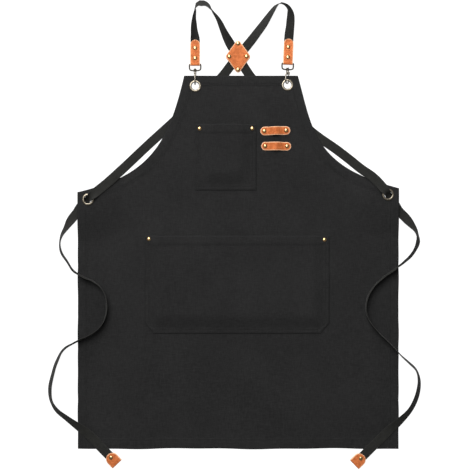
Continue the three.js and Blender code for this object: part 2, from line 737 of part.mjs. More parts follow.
function gate() {
  const barrel = crossways(GATE.barrel, GATE.half, GATE.down, GATE.drop, 12);
  const reach = GATE.end - GATE.down;
  const arm = new THREE.CylinderGeometry(GATE.arm, GATE.arm * 0.86, reach, 8)
    .rotateX(0.06).translate(0, -(GATE.down + GATE.end) / 2, GATE.drop - 0.35);
  return cut(join(barrel, arm), [crossways(GATE.bore, 3, GATE.down, GATE.drop, 10)]);
}

/** Eye, hook, gate and folded tab of one strap end; returns the holes its rivets make. */
function clasp(side, spec) {
  const frame = new THREE.Group();
  frame.position.set(spec.x, spec.y, CLASP_HEIGHT);
  frame.rotation.z = degToRad(spec.lean);
  apron.add(frame);
  add(`eye_${side}`, eye(), NICKEL, frame);
  const swivel = new THREE.Group();
  swivel.rotation.y = degToRad(spec.swivel);
  frame.add(swivel);
  add(`hook_${side}`, hook(), NICKEL, swivel);
  add(`gate_${side}`, gate(), NICKEL, swivel);
  const fold = new THREE.Group();
  fold.position.y = EYE.bar;
  fold.rotation.x = degToRad(TAB.slope);
  frame.add(fold);
  const core = EYE.wire + EYE.tabClearance;
  return leather(`strap_tab_${side}`, `tab_rivet_${side}`, TAB, core, TAB.width / 2, fold);
}

/** Folded leather with its rivets in a group; returns the rivet holes where they cut a strap. */
function leather(name, rivetName, size, core, endDepth, group) {
  const half = WEBBING.thick / 2 + GAP + LEATHER;
  const rivetsAt = size.rivets;
  const holes = rivetsAt.map((along) => drill(0, along, RIVET.hole, 8));
  add(name, cut(foldedLeather(size, core, endDepth), holes), TAN, group);
  rivetsAt.forEach((along, i) => {
    const label = rivetsAt.length > 1 ? `${rivetName}_${i + 1}` : rivetName;
    add(label, rivet(-half, half).translate(0, along, 0), BRASS, group);
  });
  apron.updateMatrixWorld(true);
  const short = rivetsAt.map((along) =>
    new THREE.CylinderGeometry(RIVET.hole, RIVET.hole, 6, 8).rotateX(Math.PI / 2).translate(0, along, 0));
  return short.map((hole) => hole.applyMatrix4(group.matrixWorld));
}

function tieTip(side, spec) {
  const group = new THREE.Group();
  group.position.set(spec.x, spec.y, TIP.height);
  group.rotation.z = degToRad(spec.turn);
  apron.add(group);
  const core = WEBBING.thick / 2 + GAP;
  return leather(`tie_tip_${side}`, `tip_rivet_${side}`, TIP, core, TIP.endDepth, group);
}

add("panel", panel(), CLOTH);
add("chest_pocket", pocket(CHEST_POCKET), CLOTH);
add("hand_pocket", pocket(HAND_POCKET), CLOTH);
for (const [name, spec] of [["chest", CHEST_POCKET], ["hand", HAND_POCKET]]) {
  spec.rivets.forEach((place, i) => add(`${name}_rivet_${i + 1}`, pocketRivet(spec, place), BRASS));
}
for (const [name, spec] of Object.entries(LOOPS)) {
  add(name, toolLoop(spec), TAN);
  loopRivets(spec).forEach(({ x, y }, i) => {
    const high = Math.max(panelOver(x, y - RIVET.cap), panelOver(x, y + RIVET.cap)) + SEAT + LEATHER;
    add(`${name}_rivet_${i + 1}`, rivet(panelUnder(x, y - RIVET.back), high).translate(x, y, 0), BRASS);
  });
}
for (const [name, spec] of Object.entries(GROMMETS)) add(name, grommet(spec), BRASS);

add("cross_front", diamond(crossDome, [-1, -0.5, 0, 0.5, 1]), TAN);
add("cross_back", diamond(() => CROSS_BACK_Z, [-1, 1]), TAN);
crossRivets.forEach(({ x, y }, i) => {
  const high = crossDome(Math.hypot(x, y) - RIVET.cap) + LEATHER;
  add(`cross_rivet_${i + 1}`, rivet(CROSS_BACK_Z, high).translate(CROSS.x + x, CROSS.y + y, 0), BRASS);
});

const leftHoles = [...clasp("left", CLASPS.left), ...tieTip("right", TIPS.right)];
const rightHoles = [...clasp("right", CLASPS.right), ...tieTip("left", TIPS.left)];
for (const [name, route, holes] of [["left", LEFT_STRAP, leftHoles], ["right", RIGHT_STRAP, rightHoles]]) {
  const parts = strap(route);
  ["shoulder", "back", "tie"].forEach((part, i) =>
    add(`strap_${name}_${part}`, cut(parts[i], holes), TAPE));
}

export default apron;
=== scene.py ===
"""Looks of a canvas work apron laid out flat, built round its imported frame.

Sizes in the classes are millimetres, in the frame of the solids: +X right and +Y up the bib as the
front is seen, +Z off the table. Meshes are written in metres.
"""

import logging
import math
from collections.abc import Callable, Iterable, Iterator, Sequence
from dataclasses import dataclass
from enum import Enum

import bmesh
import bpy
import numpy as np
from bmesh.types import BMEdge, BMesh, BMVert
from bpy.types import Material, Node, NodeSocket, NodeTree, Object
from mathutils import Matrix, Vector


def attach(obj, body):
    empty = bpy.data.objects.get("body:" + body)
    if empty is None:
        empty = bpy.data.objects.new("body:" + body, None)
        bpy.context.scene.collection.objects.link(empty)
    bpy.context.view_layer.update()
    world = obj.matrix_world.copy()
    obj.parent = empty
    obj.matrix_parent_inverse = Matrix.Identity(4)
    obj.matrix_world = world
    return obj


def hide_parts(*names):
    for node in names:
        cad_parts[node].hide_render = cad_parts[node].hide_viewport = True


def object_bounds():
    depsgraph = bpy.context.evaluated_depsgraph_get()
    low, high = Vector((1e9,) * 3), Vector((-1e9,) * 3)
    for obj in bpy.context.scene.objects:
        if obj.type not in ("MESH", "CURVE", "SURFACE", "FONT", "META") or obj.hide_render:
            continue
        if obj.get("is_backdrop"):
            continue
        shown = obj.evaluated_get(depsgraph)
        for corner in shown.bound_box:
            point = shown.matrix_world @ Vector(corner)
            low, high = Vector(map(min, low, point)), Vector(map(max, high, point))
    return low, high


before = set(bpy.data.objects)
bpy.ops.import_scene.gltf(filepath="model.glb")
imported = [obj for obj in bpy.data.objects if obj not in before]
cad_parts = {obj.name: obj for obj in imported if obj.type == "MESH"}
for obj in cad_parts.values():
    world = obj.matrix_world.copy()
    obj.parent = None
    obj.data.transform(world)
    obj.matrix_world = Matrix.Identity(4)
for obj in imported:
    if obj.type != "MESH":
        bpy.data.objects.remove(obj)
CAD_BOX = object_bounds()

MM = 0.001
SHARP_DEG = 38.0
APRON = "apron"
PANEL_CLOTH = "panel_cloth"

CANVAS_THICK = 1.2
HEM_THICK = 2.0
HEM_WIDTH = 20.0
LEATHER_THICK = 1.5
LEATHER_EASE = 0.42
LEATHER_EASE_REACH = 0.8
LEATHER_RIM = 2.8
WEBBING_WIDTH = 20.0
WEBBING_THICK = 1.5
CLEARANCE = 0.3
LOOP_SEAT = 0.12

log = logging.getLogger("apron")


class Slot(Enum):
    """Material slots of the record."""

    CANVAS = "canvas"
    WEBBING = "webbing"
    LEATHER = "leather"
    BRASS = "brass"
    NICKEL = "nickel"


class Support(Enum):
    """What a strap lies on at a station of its route."""

    TABLE = "table"
    PANEL = "panel"


def clamp(value: float, low: float = 0.0, high: float = 1.0) -> float:
    """Limit a value to a range."""
    return max(low, min(high, value))


def smoothstep(value: float, low: float, high: float) -> float:
    """Ease from 0 at low to 1 at high."""
    share = clamp((value - low) / (high - low))
    return share * share * (3.0 - 2.0 * share)


def fade(value: float, low: float, high: float) -> float:
    """Ease from 1 at low to 0 at high."""
    return 1 - smoothstep(value, low, high)


def bell(offset: float, width: float) -> float:
    """Fall off on both sides of 0, from 1."""
    return math.exp(-((offset / width) ** 2))


def nearness(distance: float, reach: float) -> float:
    """Go from 1 at an edge to 0 at a reach inside it."""
    return 1 - clamp(distance / reach)


def lerp(start: float, end: float, share: float) -> float:
    """Go from start to end by a share."""
    return start + (end - start) * share


def spread(start: float, end: float, step: float) -> list[float]:
    """List evenly spaced values.

    Args:
        start: first value, left out.
        end: last value, left out.
        step: rough spacing.

    Returns:
        The values between the two ends.
    """
    count = max(1, round(abs(end - start) / step))
    return [lerp(start, end, i / count) for i in range(1, count)]


def both_sides(*shares: float) -> list[float]:
    """Mirror shares of a half width, from the middle out, to both sides of a strip."""
    return [*(-share for share in reversed(shares)), 0, *shares]


def unique(items: Iterable) -> list:
    """List items once each and in order, so that every run builds the same mesh."""
    return list(dict.fromkeys(items))


def catmull(points: Sequence[Vector], per_span: int, closed: bool = False) -> list[Vector]:
    """Run a smooth curve through points.

    Args:
        points: the points to pass.
        per_span: samples for each span.
        closed: join the last point to the first.

    Returns:
        The sampled curve; a closed one doesn't repeat its first point.
    """
    count = len(points)

    def at(index: int) -> Vector:
        """Pick a point, wrapping or holding the ends."""
        return points[index % count] if closed else points[int(clamp(index, 0, count - 1))]

    made = []
    for span in range(count if closed else count - 1):
        before, start, end, after = (at(span + k) for k in (-1, 0, 1, 2))
        for k in range(per_span):
            t = k / per_span
            bend = 2 * start + (end - before) * t
            bend += (2 * before - 5 * start + 4 * end - after) * t**2
            bend += (3 * start - before - 3 * end + after) * t**3
            made.append(bend / 2)
    return made if closed else [*made, points[-1].copy()]


class NodeSheet:
    """Adds and joins nodes in one shader tree."""

    def __init__(self, tree: NodeTree) -> None:
        """Keep the tree that is drawn on."""
        self.tree = tree

    def plug(self, socket: NodeSocket, value: object) -> None:
        """Link a socket to another one, or set its value."""
        if isinstance(value, NodeSocket):
            self.tree.links.new(value, socket)
        else:
            socket.default_value = value

    def fill(self, node: Node, **inputs: object) -> None:
        """Plug a node's inputs by name, with _ for a space."""
        for name, value in inputs.items():
            self.plug(node.inputs[name.replace("_", " ")], value)

    def node(self, kind: str, **inputs: object) -> Node:
        """Add a node.

        Args:
            kind: the node's type after "ShaderNode".
            inputs: a value or a socket for each input, with _ for a space.

        Returns:
            The new node.
        """
        made = self.tree.nodes.new("ShaderNode" + kind)
        self.fill(made, **inputs)
        return made

    def math(self, operation: str, first: object, second: object = 0.5) -> NodeSocket:
        """Add a Math node and give its result."""
        made = self.node("Math")
        made.operation = operation
        self.plug(made.inputs[0], first)
        self.plug(made.inputs[1], second)
        return made.outputs[0]

    def total(self, *parts: tuple[NodeSocket, float]) -> NodeSocket:
        """Add values up, each by its weight."""
        result, *rest = [self.math("MULTIPLY", socket, weight) for socket, weight in parts]
        for part in rest:
            result = self.math("ADD", result, part)
        return result

    def mix(self, share: object, first: object, second: object) -> NodeSocket:
        """Mix two colours and give the result."""
        made = self.node("Mix")
        made.data_type = "RGBA"
        for index, value in ((0, share), (6, first), (7, second)):
            self.plug(made.inputs[index], value)
        return made.outputs[2]

    def stretch(self, vector: object, scale: tuple[float, float, float]) -> NodeSocket:
        """Scale a place along each axis."""
        made = self.node("VectorMath")
        made.operation = "MULTIPLY"
        self.plug(made.inputs[0], vector)
        self.plug(made.inputs[1], scale)
        return made.outputs[0]

    def noise(self, vector: object, scale: object, detail: float) -> NodeSocket:
        """Add a noise and give its value."""
        return self.node("TexNoise", Vector=vector, Scale=scale, Detail=detail).outputs["Fac"]

    def remap(self, value: object, low: float, high: float, start: object = 0.0, end: object = 1.0,
              smooth: bool = False) -> NodeSocket:
        """Bring a value from start..end to low..high, eased at both ends where it is smooth."""
        made = self.node("MapRange", Value=value, From_Min=start, From_Max=end, To_Min=low, To_Max=high)
        if smooth:
            made.interpolation_type = "SMOOTHSTEP"
        return made.outputs[0]

    def group(self, tree: NodeTree, **inputs: object) -> bpy.types.NodeOutputs:
        """Place a node group, fill its inputs and give its outputs."""
        made = self.node("Group")
        made.node_tree = tree
        self.fill(made, **inputs)
        return made.outputs


class Effects:
    """Shader node groups that several finishes share."""

    def __init__(self) -> None:
        """Build every group once."""
        self.weave = self._weave()
        self.blotch = self._blotch()
        self.grain = self._grain()
        self.rim = self._rim()

    @staticmethod
    def _start(name: str, inputs: Iterable[str], outputs: Iterable[str]) -> tuple:
        """Begin a group.

        Args:
            name: the group's name.
            inputs: its input names; Vector is a vector, the rest are values.
            outputs: its output names, all values.

        Returns:
            The tree, its node sheet, the sockets that it is given and those that it has to fill.
        """
        tree = bpy.data.node_groups.new(name, "ShaderNodeTree")
        for label in inputs:
            kind = "NodeSocketVector" if label == "Vector" else "NodeSocketFloat"
            tree.interface.new_socket(label, in_out="INPUT", socket_type=kind)
        for label in outputs:
            tree.interface.new_socket(label, in_out="OUTPUT", socket_type="NodeSocketFloat")
        given = tree.nodes.new("NodeGroupInput").outputs
        made = tree.nodes.new("NodeGroupOutput").inputs
        return tree, NodeSheet(tree), given, made

    def _weave(self) -> NodeTree:
        """Make a plain weave: over and under yarns, with uneven slubs."""
        tree, sheet, given, made = self._start(
            "yarn_weave", ("Vector", "Across", "Along", "Slub"), ("Height", "Tone"))
        split = sheet.node("SeparateXYZ", Vector=given["Vector"])
        waves = []
        for axis, count in (("X", "Across"), ("Y", "Along")):
            turns = sheet.math("MULTIPLY", split.outputs[axis], given[count])
            waves.append(sheet.math("SINE", sheet.math("MULTIPLY", turns, math.tau)))
        over = sheet.math("MULTIPLY", *waves)
        sheet.plug(made["Height"], sheet.math("MULTIPLY_ADD", over, 0.5))
        streaks = []
        for stretch in ((1.0, 0.13, 1.0), (0.13, 1.0, 1.0)):
            along = sheet.stretch(given["Vector"], stretch)
            streaks.append(sheet.noise(along, given["Slub"], 4.0))
        sheet.plug(made["Tone"], sheet.remap(sheet.math("ADD", *streaks), -0.2, 1.2, 0.6, 1.4))
        return tree

    def _blotch(self) -> NodeTree:
        """Make a soft uneven mask."""
        tree, sheet, given, made = self._start(
            "uneven_blotch", ("Vector", "Scale", "From", "To"), ("Mask",))
        noise = sheet.noise(given["Vector"], given["Scale"], 5.0)
        sheet.plug(made["Mask"], sheet.remap(noise, 0.0, 1.0, given["From"], given["To"], smooth=True))
        return tree

    def _grain(self) -> NodeTree:
        """Make leather pores and creases."""
        tree, sheet, given, made = self._start("hide_grain", ("Vector", "Scale"), ("Height", "Tone"))
        cells = sheet.node("TexVoronoi", Vector=given["Vector"], Scale=given["Scale"])
        pores = sheet.math("MULTIPLY", cells.outputs["Distance"], 0.6)
        fine = sheet.noise(given["Vector"], given["Scale"], 3.0)
        sheet.plug(made["Height"], sheet.math("ADD", pores, fine))
        broad = sheet.math("MULTIPLY", given["Scale"], 0.06)
        sheet.plug(made["Tone"], sheet.noise(given["Vector"], broad, 4.0))
        return tree

    def _rim(self) -> NodeTree:
        """Make an edge mask, broken up a little: painted shade or light on cloth and metal edges, the pale
        cut edge on leather.
        """
        tree, sheet, given, made = self._start("rim_colour_and_painted_light", ("Vector", "Rim", "Scale"), ("Mask",))
        noise = sheet.noise(given["Vector"], given["Scale"], 3.0)
        broken = sheet.math("MULTIPLY_ADD", noise, 0.6)
        edge = sheet.math("MULTIPLY", given["Rim"], broken)
        sheet.plug(made["Mask"], sheet.remap(edge, 0.0, 1.0, 0.15, 0.85, smooth=True))
        return tree


Colour = tuple[float, float, float, float]


def tint(red: int, green: int, blue: int) -> Colour:
    """Turn a colour read off as 0 to 255 into a linear shader colour."""
    parts = (red / 255, green / 255, blue / 255)
    linear = (c / 12.92 if c <= 0.04045 else ((c + 0.055) / 1.055) ** 2.4 for c in parts)
    return (*linear, 1.0)


@dataclass(frozen=True)
class Finish:
    """What every finish has."""

    name: str
    dark: Colour
    light: Colour


class Coat:
    """One material in the making: its shader, and the place that its patterns follow."""

    def __init__(self, finish: Finish, effects: Effects, follows: str = "Object") -> None:
        """Begin the material.

        Args:
            finish: gives its name and its colour in the viewport.
            effects: the shared node groups.
            follows: the coordinates of its patterns, Object or UV.
        """
        self.material = bpy.data.materials.new(finish.name)
        self.material.use_nodes = True
        self.material.diffuse_color = finish.light
        self.effects = effects
        self.sheet = NodeSheet(self.material.node_tree)
        self.shader = self.material.node_tree.nodes["Principled BSDF"]
        self.place = self.sheet.node("TexCoord").outputs[follows]

    def blotch(self, scale: float, start: float, end: float) -> NodeSocket:
        """Uneven mask, from 0 at start of the noise to 1 at its end."""
        made = self.sheet.group(self.effects.blotch, Vector=self.place, Scale=scale, From=start, To=end)
        return made["Mask"]

    def edge_colour_and_painted_light(self, scale: float) -> NodeSocket:
        """Mask of the piece's edges, where the finish paints shade or light, and on leather its pale cut
        edge.
        """
        rim = self.sheet.node("Attribute")
        rim.attribute_name = "rim"
        made = self.sheet.group(self.effects.rim, Vector=self.place, Rim=rim.outputs["Fac"], Scale=scale)
        return made["Mask"]

    def shade(self, relief: NodeSocket, strength: float, depth: float, **inputs: object) -> Material:
        """Fill the shader.

        Args:
            relief: height of the fine relief.
            strength: how much of it shows.
            depth: its depth.
            inputs: the shader's own inputs, with _ for a space.

        Returns:
            The finished material.
        """
        self.sheet.fill(self.shader, **inputs)
        bump = self.sheet.node("Bump", Height=relief, Strength=strength, Distance=depth * MM)
        self.sheet.plug(self.shader.inputs["Normal"], bump.outputs[0])
        return self.material


@dataclass(frozen=True)
class ClothFinish(Finish):
    """Woven cotton: yarns per metre across and along, yarn height and an edge colour that paints shade or a
    highlight along the edges.
    """

    edge: Colour
    across: float
    along: float
    depth: float
    roughness: float
    follows_strip: bool = False
    sheen: float = 0.0

    def material(self, effects: Effects) -> Material:
        """Build the woven material.

        Args:
            effects: the shared node groups.

        Returns:
            The material.
        """
        coat = Coat(self, effects, "UV" if self.follows_strip else "Object")
        sheet = coat.sheet
        weave = sheet.group(
            effects.weave, Vector=coat.place, Across=self.across, Along=self.along, Slub=650.0)
        faded = coat.blotch(scale=9.0, start=0.3, end=0.75)
        # Mixing the yarn height into the colour paints shade into the weave's hollows; the slubs and the
        # faded blotches are the cloth's own tone.
        tone = sheet.total((weave["Tone"], 0.55), (weave["Height"], 0.3), (faded, 0.15))
        face = sheet.mix(tone, self.dark, self.light)
        # The edge colour on the rim mask is painted light: shade along the canvas edges, a highlight along
        # the webbing's lit edges.
        return coat.shade(
            weave["Height"], 0.6, self.depth,
            Base_Color=sheet.mix(coat.edge_colour_and_painted_light(300.0), face, self.edge),
            Roughness=sheet.remap(weave["Tone"], self.roughness, 1.0),
            Specular_IOR_Level=0.12,
            Sheen_Weight=self.sheen,
            Sheen_Roughness=0.35)


@dataclass(frozen=True)
class LeatherFinish(Finish):
    """Smooth tanned leather with a paler cut edge."""

    edge: Colour
    roughness: float

    def material(self, effects: Effects) -> Material:
        """Build the leather material.

        Args:
            effects: the shared node groups.

        Returns:
            The material.
        """
        coat = Coat(self, effects)
        sheet = coat.sheet
        grain = sheet.group(effects.grain, Vector=coat.place, Scale=900.0)
        patchy = coat.blotch(scale=190.0, start=0.36, end=0.64)
        tone = sheet.total((grain["Tone"], 0.5), (patchy, 0.5))
        face = sheet.mix(tone, self.dark, self.light)
        return coat.shade(
            grain["Height"], 0.35, 0.12,
            Base_Color=sheet.mix(coat.edge_colour_and_painted_light(160.0), face, self.edge),
            Roughness=sheet.remap(grain["Tone"], self.roughness, self.roughness + 0.18),
            Specular_IOR_Level=0.14)


@dataclass(frozen=True)
class MetalFinish(Finish):
    """Plated metal with a tarnished bloom, darkened at its edges by tarnish and painted shade."""

    roughness: float

    def material(self, effects: Effects) -> Material:
        """Build the metal material.

        Args:
            effects: the shared node groups.

        Returns:
            The material.
        """
        coat = Coat(self, effects)
        sheet = coat.sheet
        bloom = sheet.math("MULTIPLY", coat.blotch(scale=420.0, start=0.35, end=0.75), 0.5)
        # The rim mask darkens the metal's edges: tarnish in the hollows and painted shade on the rounded
        # edges.
        tarnish_and_painted_shade = sheet.math("MAXIMUM", bloom, coat.edge_colour_and_painted_light(600.0))
        return coat.shade(
            sheet.noise(coat.place, 1500.0, 2.0), 0.08, 0.05,
            Base_Color=sheet.mix(tarnish_and_painted_shade, self.light, self.dark),
            Roughness=sheet.remap(tarnish_and_painted_shade, self.roughness, self.roughness + 0.2),
            Metallic=1.0)


FINISHES: dict[Slot, Finish] = {
    # The canvas edge colour is painted shade along the rounded edges of the panel and the pockets.
    Slot.CANVAS: ClothFinish(
        "black_canvas", tint(18, 18, 18), tint(42, 42, 42), edge=tint(15, 15, 15),
        across=620.0, along=620.0, depth=0.25, roughness=0.86),
    # The webbing edge colour is a painted highlight where the strap's raised edges catch the light.
    Slot.WEBBING: ClothFinish(
        "black_webbing", tint(18, 18, 17), tint(46, 46, 44), edge=tint(42, 42, 40),
        across=420.0, along=620.0, depth=0.35, roughness=0.8, follows_strip=True, sheen=0.03),
    Slot.LEATHER: LeatherFinish(
        "tan_leather", tint(152, 78, 36), tint(202, 114, 64), edge=tint(230, 186, 150), roughness=0.55),
    Slot.BRASS: MetalFinish("aged_brass", tint(54, 40, 25), tint(192, 158, 112), roughness=0.24),
    Slot.NICKEL: MetalFinish("aged_nickel", tint(30, 27, 24), tint(150, 144, 134), roughness=0.24),
}
THREAD = ClothFinish(
    "black_thread", tint(12, 12, 12), tint(28, 28, 28), edge=tint(12, 12, 12),
    across=1500.0, along=1500.0, depth=0.1, roughness=0.7)
EYELET = MetalFinish("aged_eyelet", tint(30, 26, 21), tint(132, 124, 110), roughness=0.28)
# The eye is the same nickel as the hook, painted darker to stand for the dark reflections along its wire.
EYE_NICKEL_SHADED = MetalFinish("nickel_painted_dark", tint(14, 13, 11), tint(74, 70, 64), roughness=0.42)


class Wardrobe:
    """Keeps one material for each finish and dresses pieces with them."""

    def __init__(self) -> None:
        """Build every material once."""
        effects = Effects()
        self.materials = {slot: finish.material(effects) for slot, finish in FINISHES.items()}
        self.thread = THREAD.material(effects)
        self.eyelet = EYELET.material(effects)
        self.eye = EYE_NICKEL_SHADED.material(effects)

    def dress(self, piece: Object, slot: Slot, nodes: Sequence[str] = (), body: str = APRON,
              material: Material | None = None) -> None:
        """Give a piece the material of its slot and its body, and hide the solids that it stands for.

        Args:
            piece: the finished object.
            slot: its material slot.
            nodes: names of the solids that it replaces.
            body: the body that carries it.
            material: a finish of its own, where it has one.
        """
        piece.data.materials.append(material or self.materials[slot])
        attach(piece, body)
        if nodes:
            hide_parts(*nodes)
        log.info("%s: %d faces", piece.name, len(piece.data.polygons))

    def sew(self, piece: Object) -> None:
        """Dress a run of stitches in thread."""
        self.dress(piece, Slot.CANVAS, material=self.thread)


def add_object(name: str, data: bpy.types.ID) -> Object:
    """Put a mesh, a lamp or a camera in the scene."""
    made = bpy.data.objects.new(name, data)
    bpy.context.scene.collection.objects.link(made)
    return made


def to_object(bm: BMesh, name: str, matrix: Matrix | None = None) -> Object:
    """Write a bmesh in millimetres as an object in metres at the origin.

    Args:
        bm: the shape, which is freed.
        name: the piece's name.
        matrix: where the shape goes, in millimetres.

    Returns:
        The object.
    """
    bmesh.ops.recalc_face_normals(bm, faces=bm.faces)
    if matrix is not None:
        bmesh.ops.transform(bm, matrix=matrix, verts=bm.verts)
    bmesh.ops.scale(bm, vec=Vector((MM, MM, MM)), verts=bm.verts)
    for edge in bm.edges:
        edge.smooth = len(edge.link_faces) == 2 and edge.calc_face_angle() < math.radians(SHARP_DEG)
    for face in bm.faces:
        face.smooth = True
    mesh = bpy.data.meshes.new(name)
    bm.to_mesh(mesh)
    bm.free()
    return add_object(name, mesh)


def lay_grid(bm: BMesh, columns: int, rows: int) -> Iterator[tuple[BMVert, int, int]]:
    """Lay a grid and walk over it.

    Args:
        bm: the mesh to add to, with its layers.
        columns: points across.
        rows: points along.

    Yields:
        Each vertex with its column and row.
    """
    bmesh.ops.create_grid(bm, x_segments=columns - 1, y_segments=rows - 1, size=1.0)
    for vert in bm.verts:
        column = round((vert.co.x + 1) / 2 * (columns - 1))
        row = round((vert.co.y + 1) / 2 * (rows - 1))
        yield vert, column, row


def thicken(bm: BMesh) -> set[BMVert]:
    """Give a sheet a second face and walls, and name the vertices of that face."""
    raised = bmesh.ops.extrude_face_region(bm, geom=bm.faces[:])
    return {item for item in raised["geom"] if isinstance(item, BMVert)}


@dataclass(frozen=True)
class Spot:
    """One place of a wall: its two faces, how near an edge it is, and its place on the cut cloth."""

    low: Vector
    high: Vector
    rim: float = 0.0
    across: float = 0.0
    along: float = 0.0


def wall(columns: int, rows: int, spot: Callable[[int, int], Spot]) -> BMesh:
    """Make a closed thin wall from a grid.

    Args:
        columns: points across.
        rows: points along.
        spot: gives the wall's place at a column and a row.

    Returns:
        The wall, with a rim attribute and a UV map in metres.
    """
    bm = bmesh.new()
    index = bm.verts.layers.int.new("place")
    rim = bm.verts.layers.float.new("rim")
    spots = []
    for vert, column, row in lay_grid(bm, columns, rows):
        vert[index] = len(spots)
        spots.append(spot(column, row))
    tops = thicken(bm)
    for vert in bm.verts:
        place = spots[vert[index]]
        vert.co = place.high if vert in tops else place.low
        vert[rim] = place.rim
    flat = bm.loops.layers.uv.new("strip")
    for face in bm.faces:
        for loop in face.loops:
            place = spots[loop.vert[index]]
            loop[flat].uv = (place.across * MM, place.along * MM)
    bm.verts.layers.int.remove(index)
    return bm


def leather_spot(raised: Callable[[float], Vector], inside: float) -> Spot:
    """Place of a leather wall, with its cut edges eased.

    Args:
        raised: gives the point at a height over the leather's inner face.
        inside: distance from the nearest cut edge.

    Returns:
        The place.
    """
    ease = LEATHER_EASE * nearness(inside, LEATHER_EASE_REACH) ** 2
    return Spot(raised(ease * 0.5), raised(LEATHER_THICK - ease), nearness(inside, LEATHER_RIM))


def lathe(profile: Sequence[tuple[float, float, float]], sides: int) -> BMesh:
    """Turn a profile about an upright axis.

    Args:
        profile: radius, height and rim value of each point.
        sides: steps round.

    Returns:
        The turned shape.
    """
    bm = bmesh.new()
    rim = bm.verts.layers.float.new("rim")
    verts = []
    for radius, height, value in profile:
        vert = bm.verts.new((radius, 0.0, height))
        vert[rim] = value
        verts.append(vert)
    edges = [bm.edges.new(pair) for pair in zip(verts, verts[1:])]
    bmesh.ops.spin(bm, geom=[*verts, *edges], cent=(0, 0, 0), axis=(0, 0, 1), angle=math.tau, steps=sides,
                   use_merge=True)
    bmesh.ops.remove_doubles(bm, verts=bm.verts, dist=1e-4)
    return bm


def wire(bm: BMesh, path: Sequence[Vector], flat: Vector, radii: Sequence[float], sides: int,
         closed: bool = False) -> None:
    """Sweep a round wire along a flat path.

    Args:
        bm: the mesh to add to.
        path: centre points.
        flat: the normal of the path's plane.
        radii: wire radius at each point.
        sides: sides of the wire.
        closed: join the end to the start.
    """
    count = len(path)

    def station(i: int) -> Matrix:
        """Place of the wire's section at a point of the path."""
        ahead = path[(i + 1) % count] if closed else path[min(i + 1, count - 1)]
        behind = path[i - 1] if closed or i > 0 else path[0]
        along = (ahead - behind).normalized()
        up = flat.cross(along).normalized()
        turn = Matrix((flat, up, along)).transposed().to_4x4()
        return Matrix.Translation(path[i]) @ turn @ Matrix.Scale(radii[i], 4)

    made = bmesh.ops.create_circle(bm, segments=sides, radius=1.0, matrix=station(0))
    ring = unique(edge for vert in made["verts"] for edge in vert.link_edges)
    first = ring
    for i in range(1, count):
        grown = bmesh.ops.extrude_edge_only(bm, edges=ring)["geom"]
        verts = [item for item in grown if isinstance(item, BMVert)]
        bmesh.ops.transform(bm, matrix=station(i) @ station(i - 1).inverted(), verts=verts)
        newest = set(verts)
        ring = [item for item in grown if isinstance(item, BMEdge) and newest.issuperset(item.verts)]
    if closed:
        bmesh.ops.bridge_loops(bm, edges=[*ring, *first])
    else:
        bmesh.ops.contextual_create(bm, geom=first)
        bmesh.ops.contextual_create(bm, geom=ring)


def soften(bm: BMesh, edges: list[BMEdge], radius: float) -> None:
    """Round edges off."""
    bmesh.ops.bevel(bm, geom=edges, offset=radius, segments=2, profile=0.5, affect="EDGES", material=-1)


def block(bm: BMesh, size: tuple[float, float, float], at: tuple[float, float, float], edge: float) -> None:
    """Add a box with rounded edges.

    Args:
        bm: the mesh to add to.
        size: width, length and height.
        at: its middle.
        edge: radius of its edges.
    """
    place = Matrix.Translation(at) @ Matrix.Diagonal((*size, 1.0))
    made = bmesh.ops.create_cube(bm, size=1.0, matrix=place)
    soften(bm, unique(item for vert in made["verts"] for item in vert.link_edges), edge)


def drum(bm: BMesh, radius: float, length: float, matrix: Matrix, edge: float) -> None:
    """Add a short cylinder with rounded rims.

    Args:
        bm: the mesh to add to.
        radius: its radius.
        length: its length along its own Z.
        matrix: its place.
        edge: radius of its rims.
    """
    made = bmesh.ops.create_cone(
        bm, cap_ends=True, segments=20, radius1=radius, radius2=radius, depth=length, matrix=matrix)
    caps = unique(face for vert in made["verts"] for face in vert.link_faces if len(face.verts) > 4)
    soften(bm, unique(item for face in caps for item in face.edges), edge)


@dataclass(frozen=True)
class Side:
    """One long edge of the panel: straight up to the waist corner, then the armhole curve."""

    edge: float
    waist: float
    control: tuple[tuple[float, float], ...]

    def armhole(self, t: float) -> Vector:
        """Point of the armhole curve."""
        a, b, c, d = (Vector(point) for point in self.control)
        return a * (1 - t) ** 3 + b * 3 * t * (1 - t) ** 2 + c * 3 * t * t * (1 - t) + d * t**3

    def inside(self, t: float, distance: float) -> Vector:
        """Point at a distance inside the armhole, square to it."""
        step = 1e-3
        along = self.armhole(min(1.0, t + step)) - self.armhole(max(0.0, t - step))
        square = Vector((along.y, -along.x)).normalized()
        return self.armhole(t) + (square if self.edge < 0 else -square) * distance

    @staticmethod
    def solve(value: Callable[[float], float], wanted: float) -> float:
        """Find where a rising value on 0..1 reaches the wanted one."""
        low, high = 0.0, 1.0
        for _ in range(40):
            middle = (low + high) / 2
            if value(middle) < wanted:
                low = middle
            else:
                high = middle
        return low

    def x_at(self, y: float) -> float:
        """X of this edge at a height."""
        if y <= self.waist:
            return self.edge
        return self.armhole(self.solve(lambda t: self.armhole(t).y, y)).x


@dataclass(frozen=True)
class Place:
    """A named place on the plan."""

    x: float
    y: float


def near(x: float, y: float, places: Iterable[Place], reach: float) -> bool:
    """True where one of the places is closer than a reach."""
    return any(math.hypot(x - place.x, y - place.y) < reach for place in places)


@dataclass(frozen=True)
class Lift:
    """A place where the panel is held off the table."""

    at: Place
    height: float
    flat: float
    reach: float


@dataclass(frozen=True)
class Rise:
    """An eased step in the bib's height."""

    start: float
    end: float
    height: float


@dataclass(frozen=True)
class Ripple:
    """A small regular wave along an edge."""

    height: float
    length: float
    phase: float = 0.0

    def at(self, along: float) -> float:
        """Height of the wave."""
        return self.height * math.sin(along / self.length + self.phase)


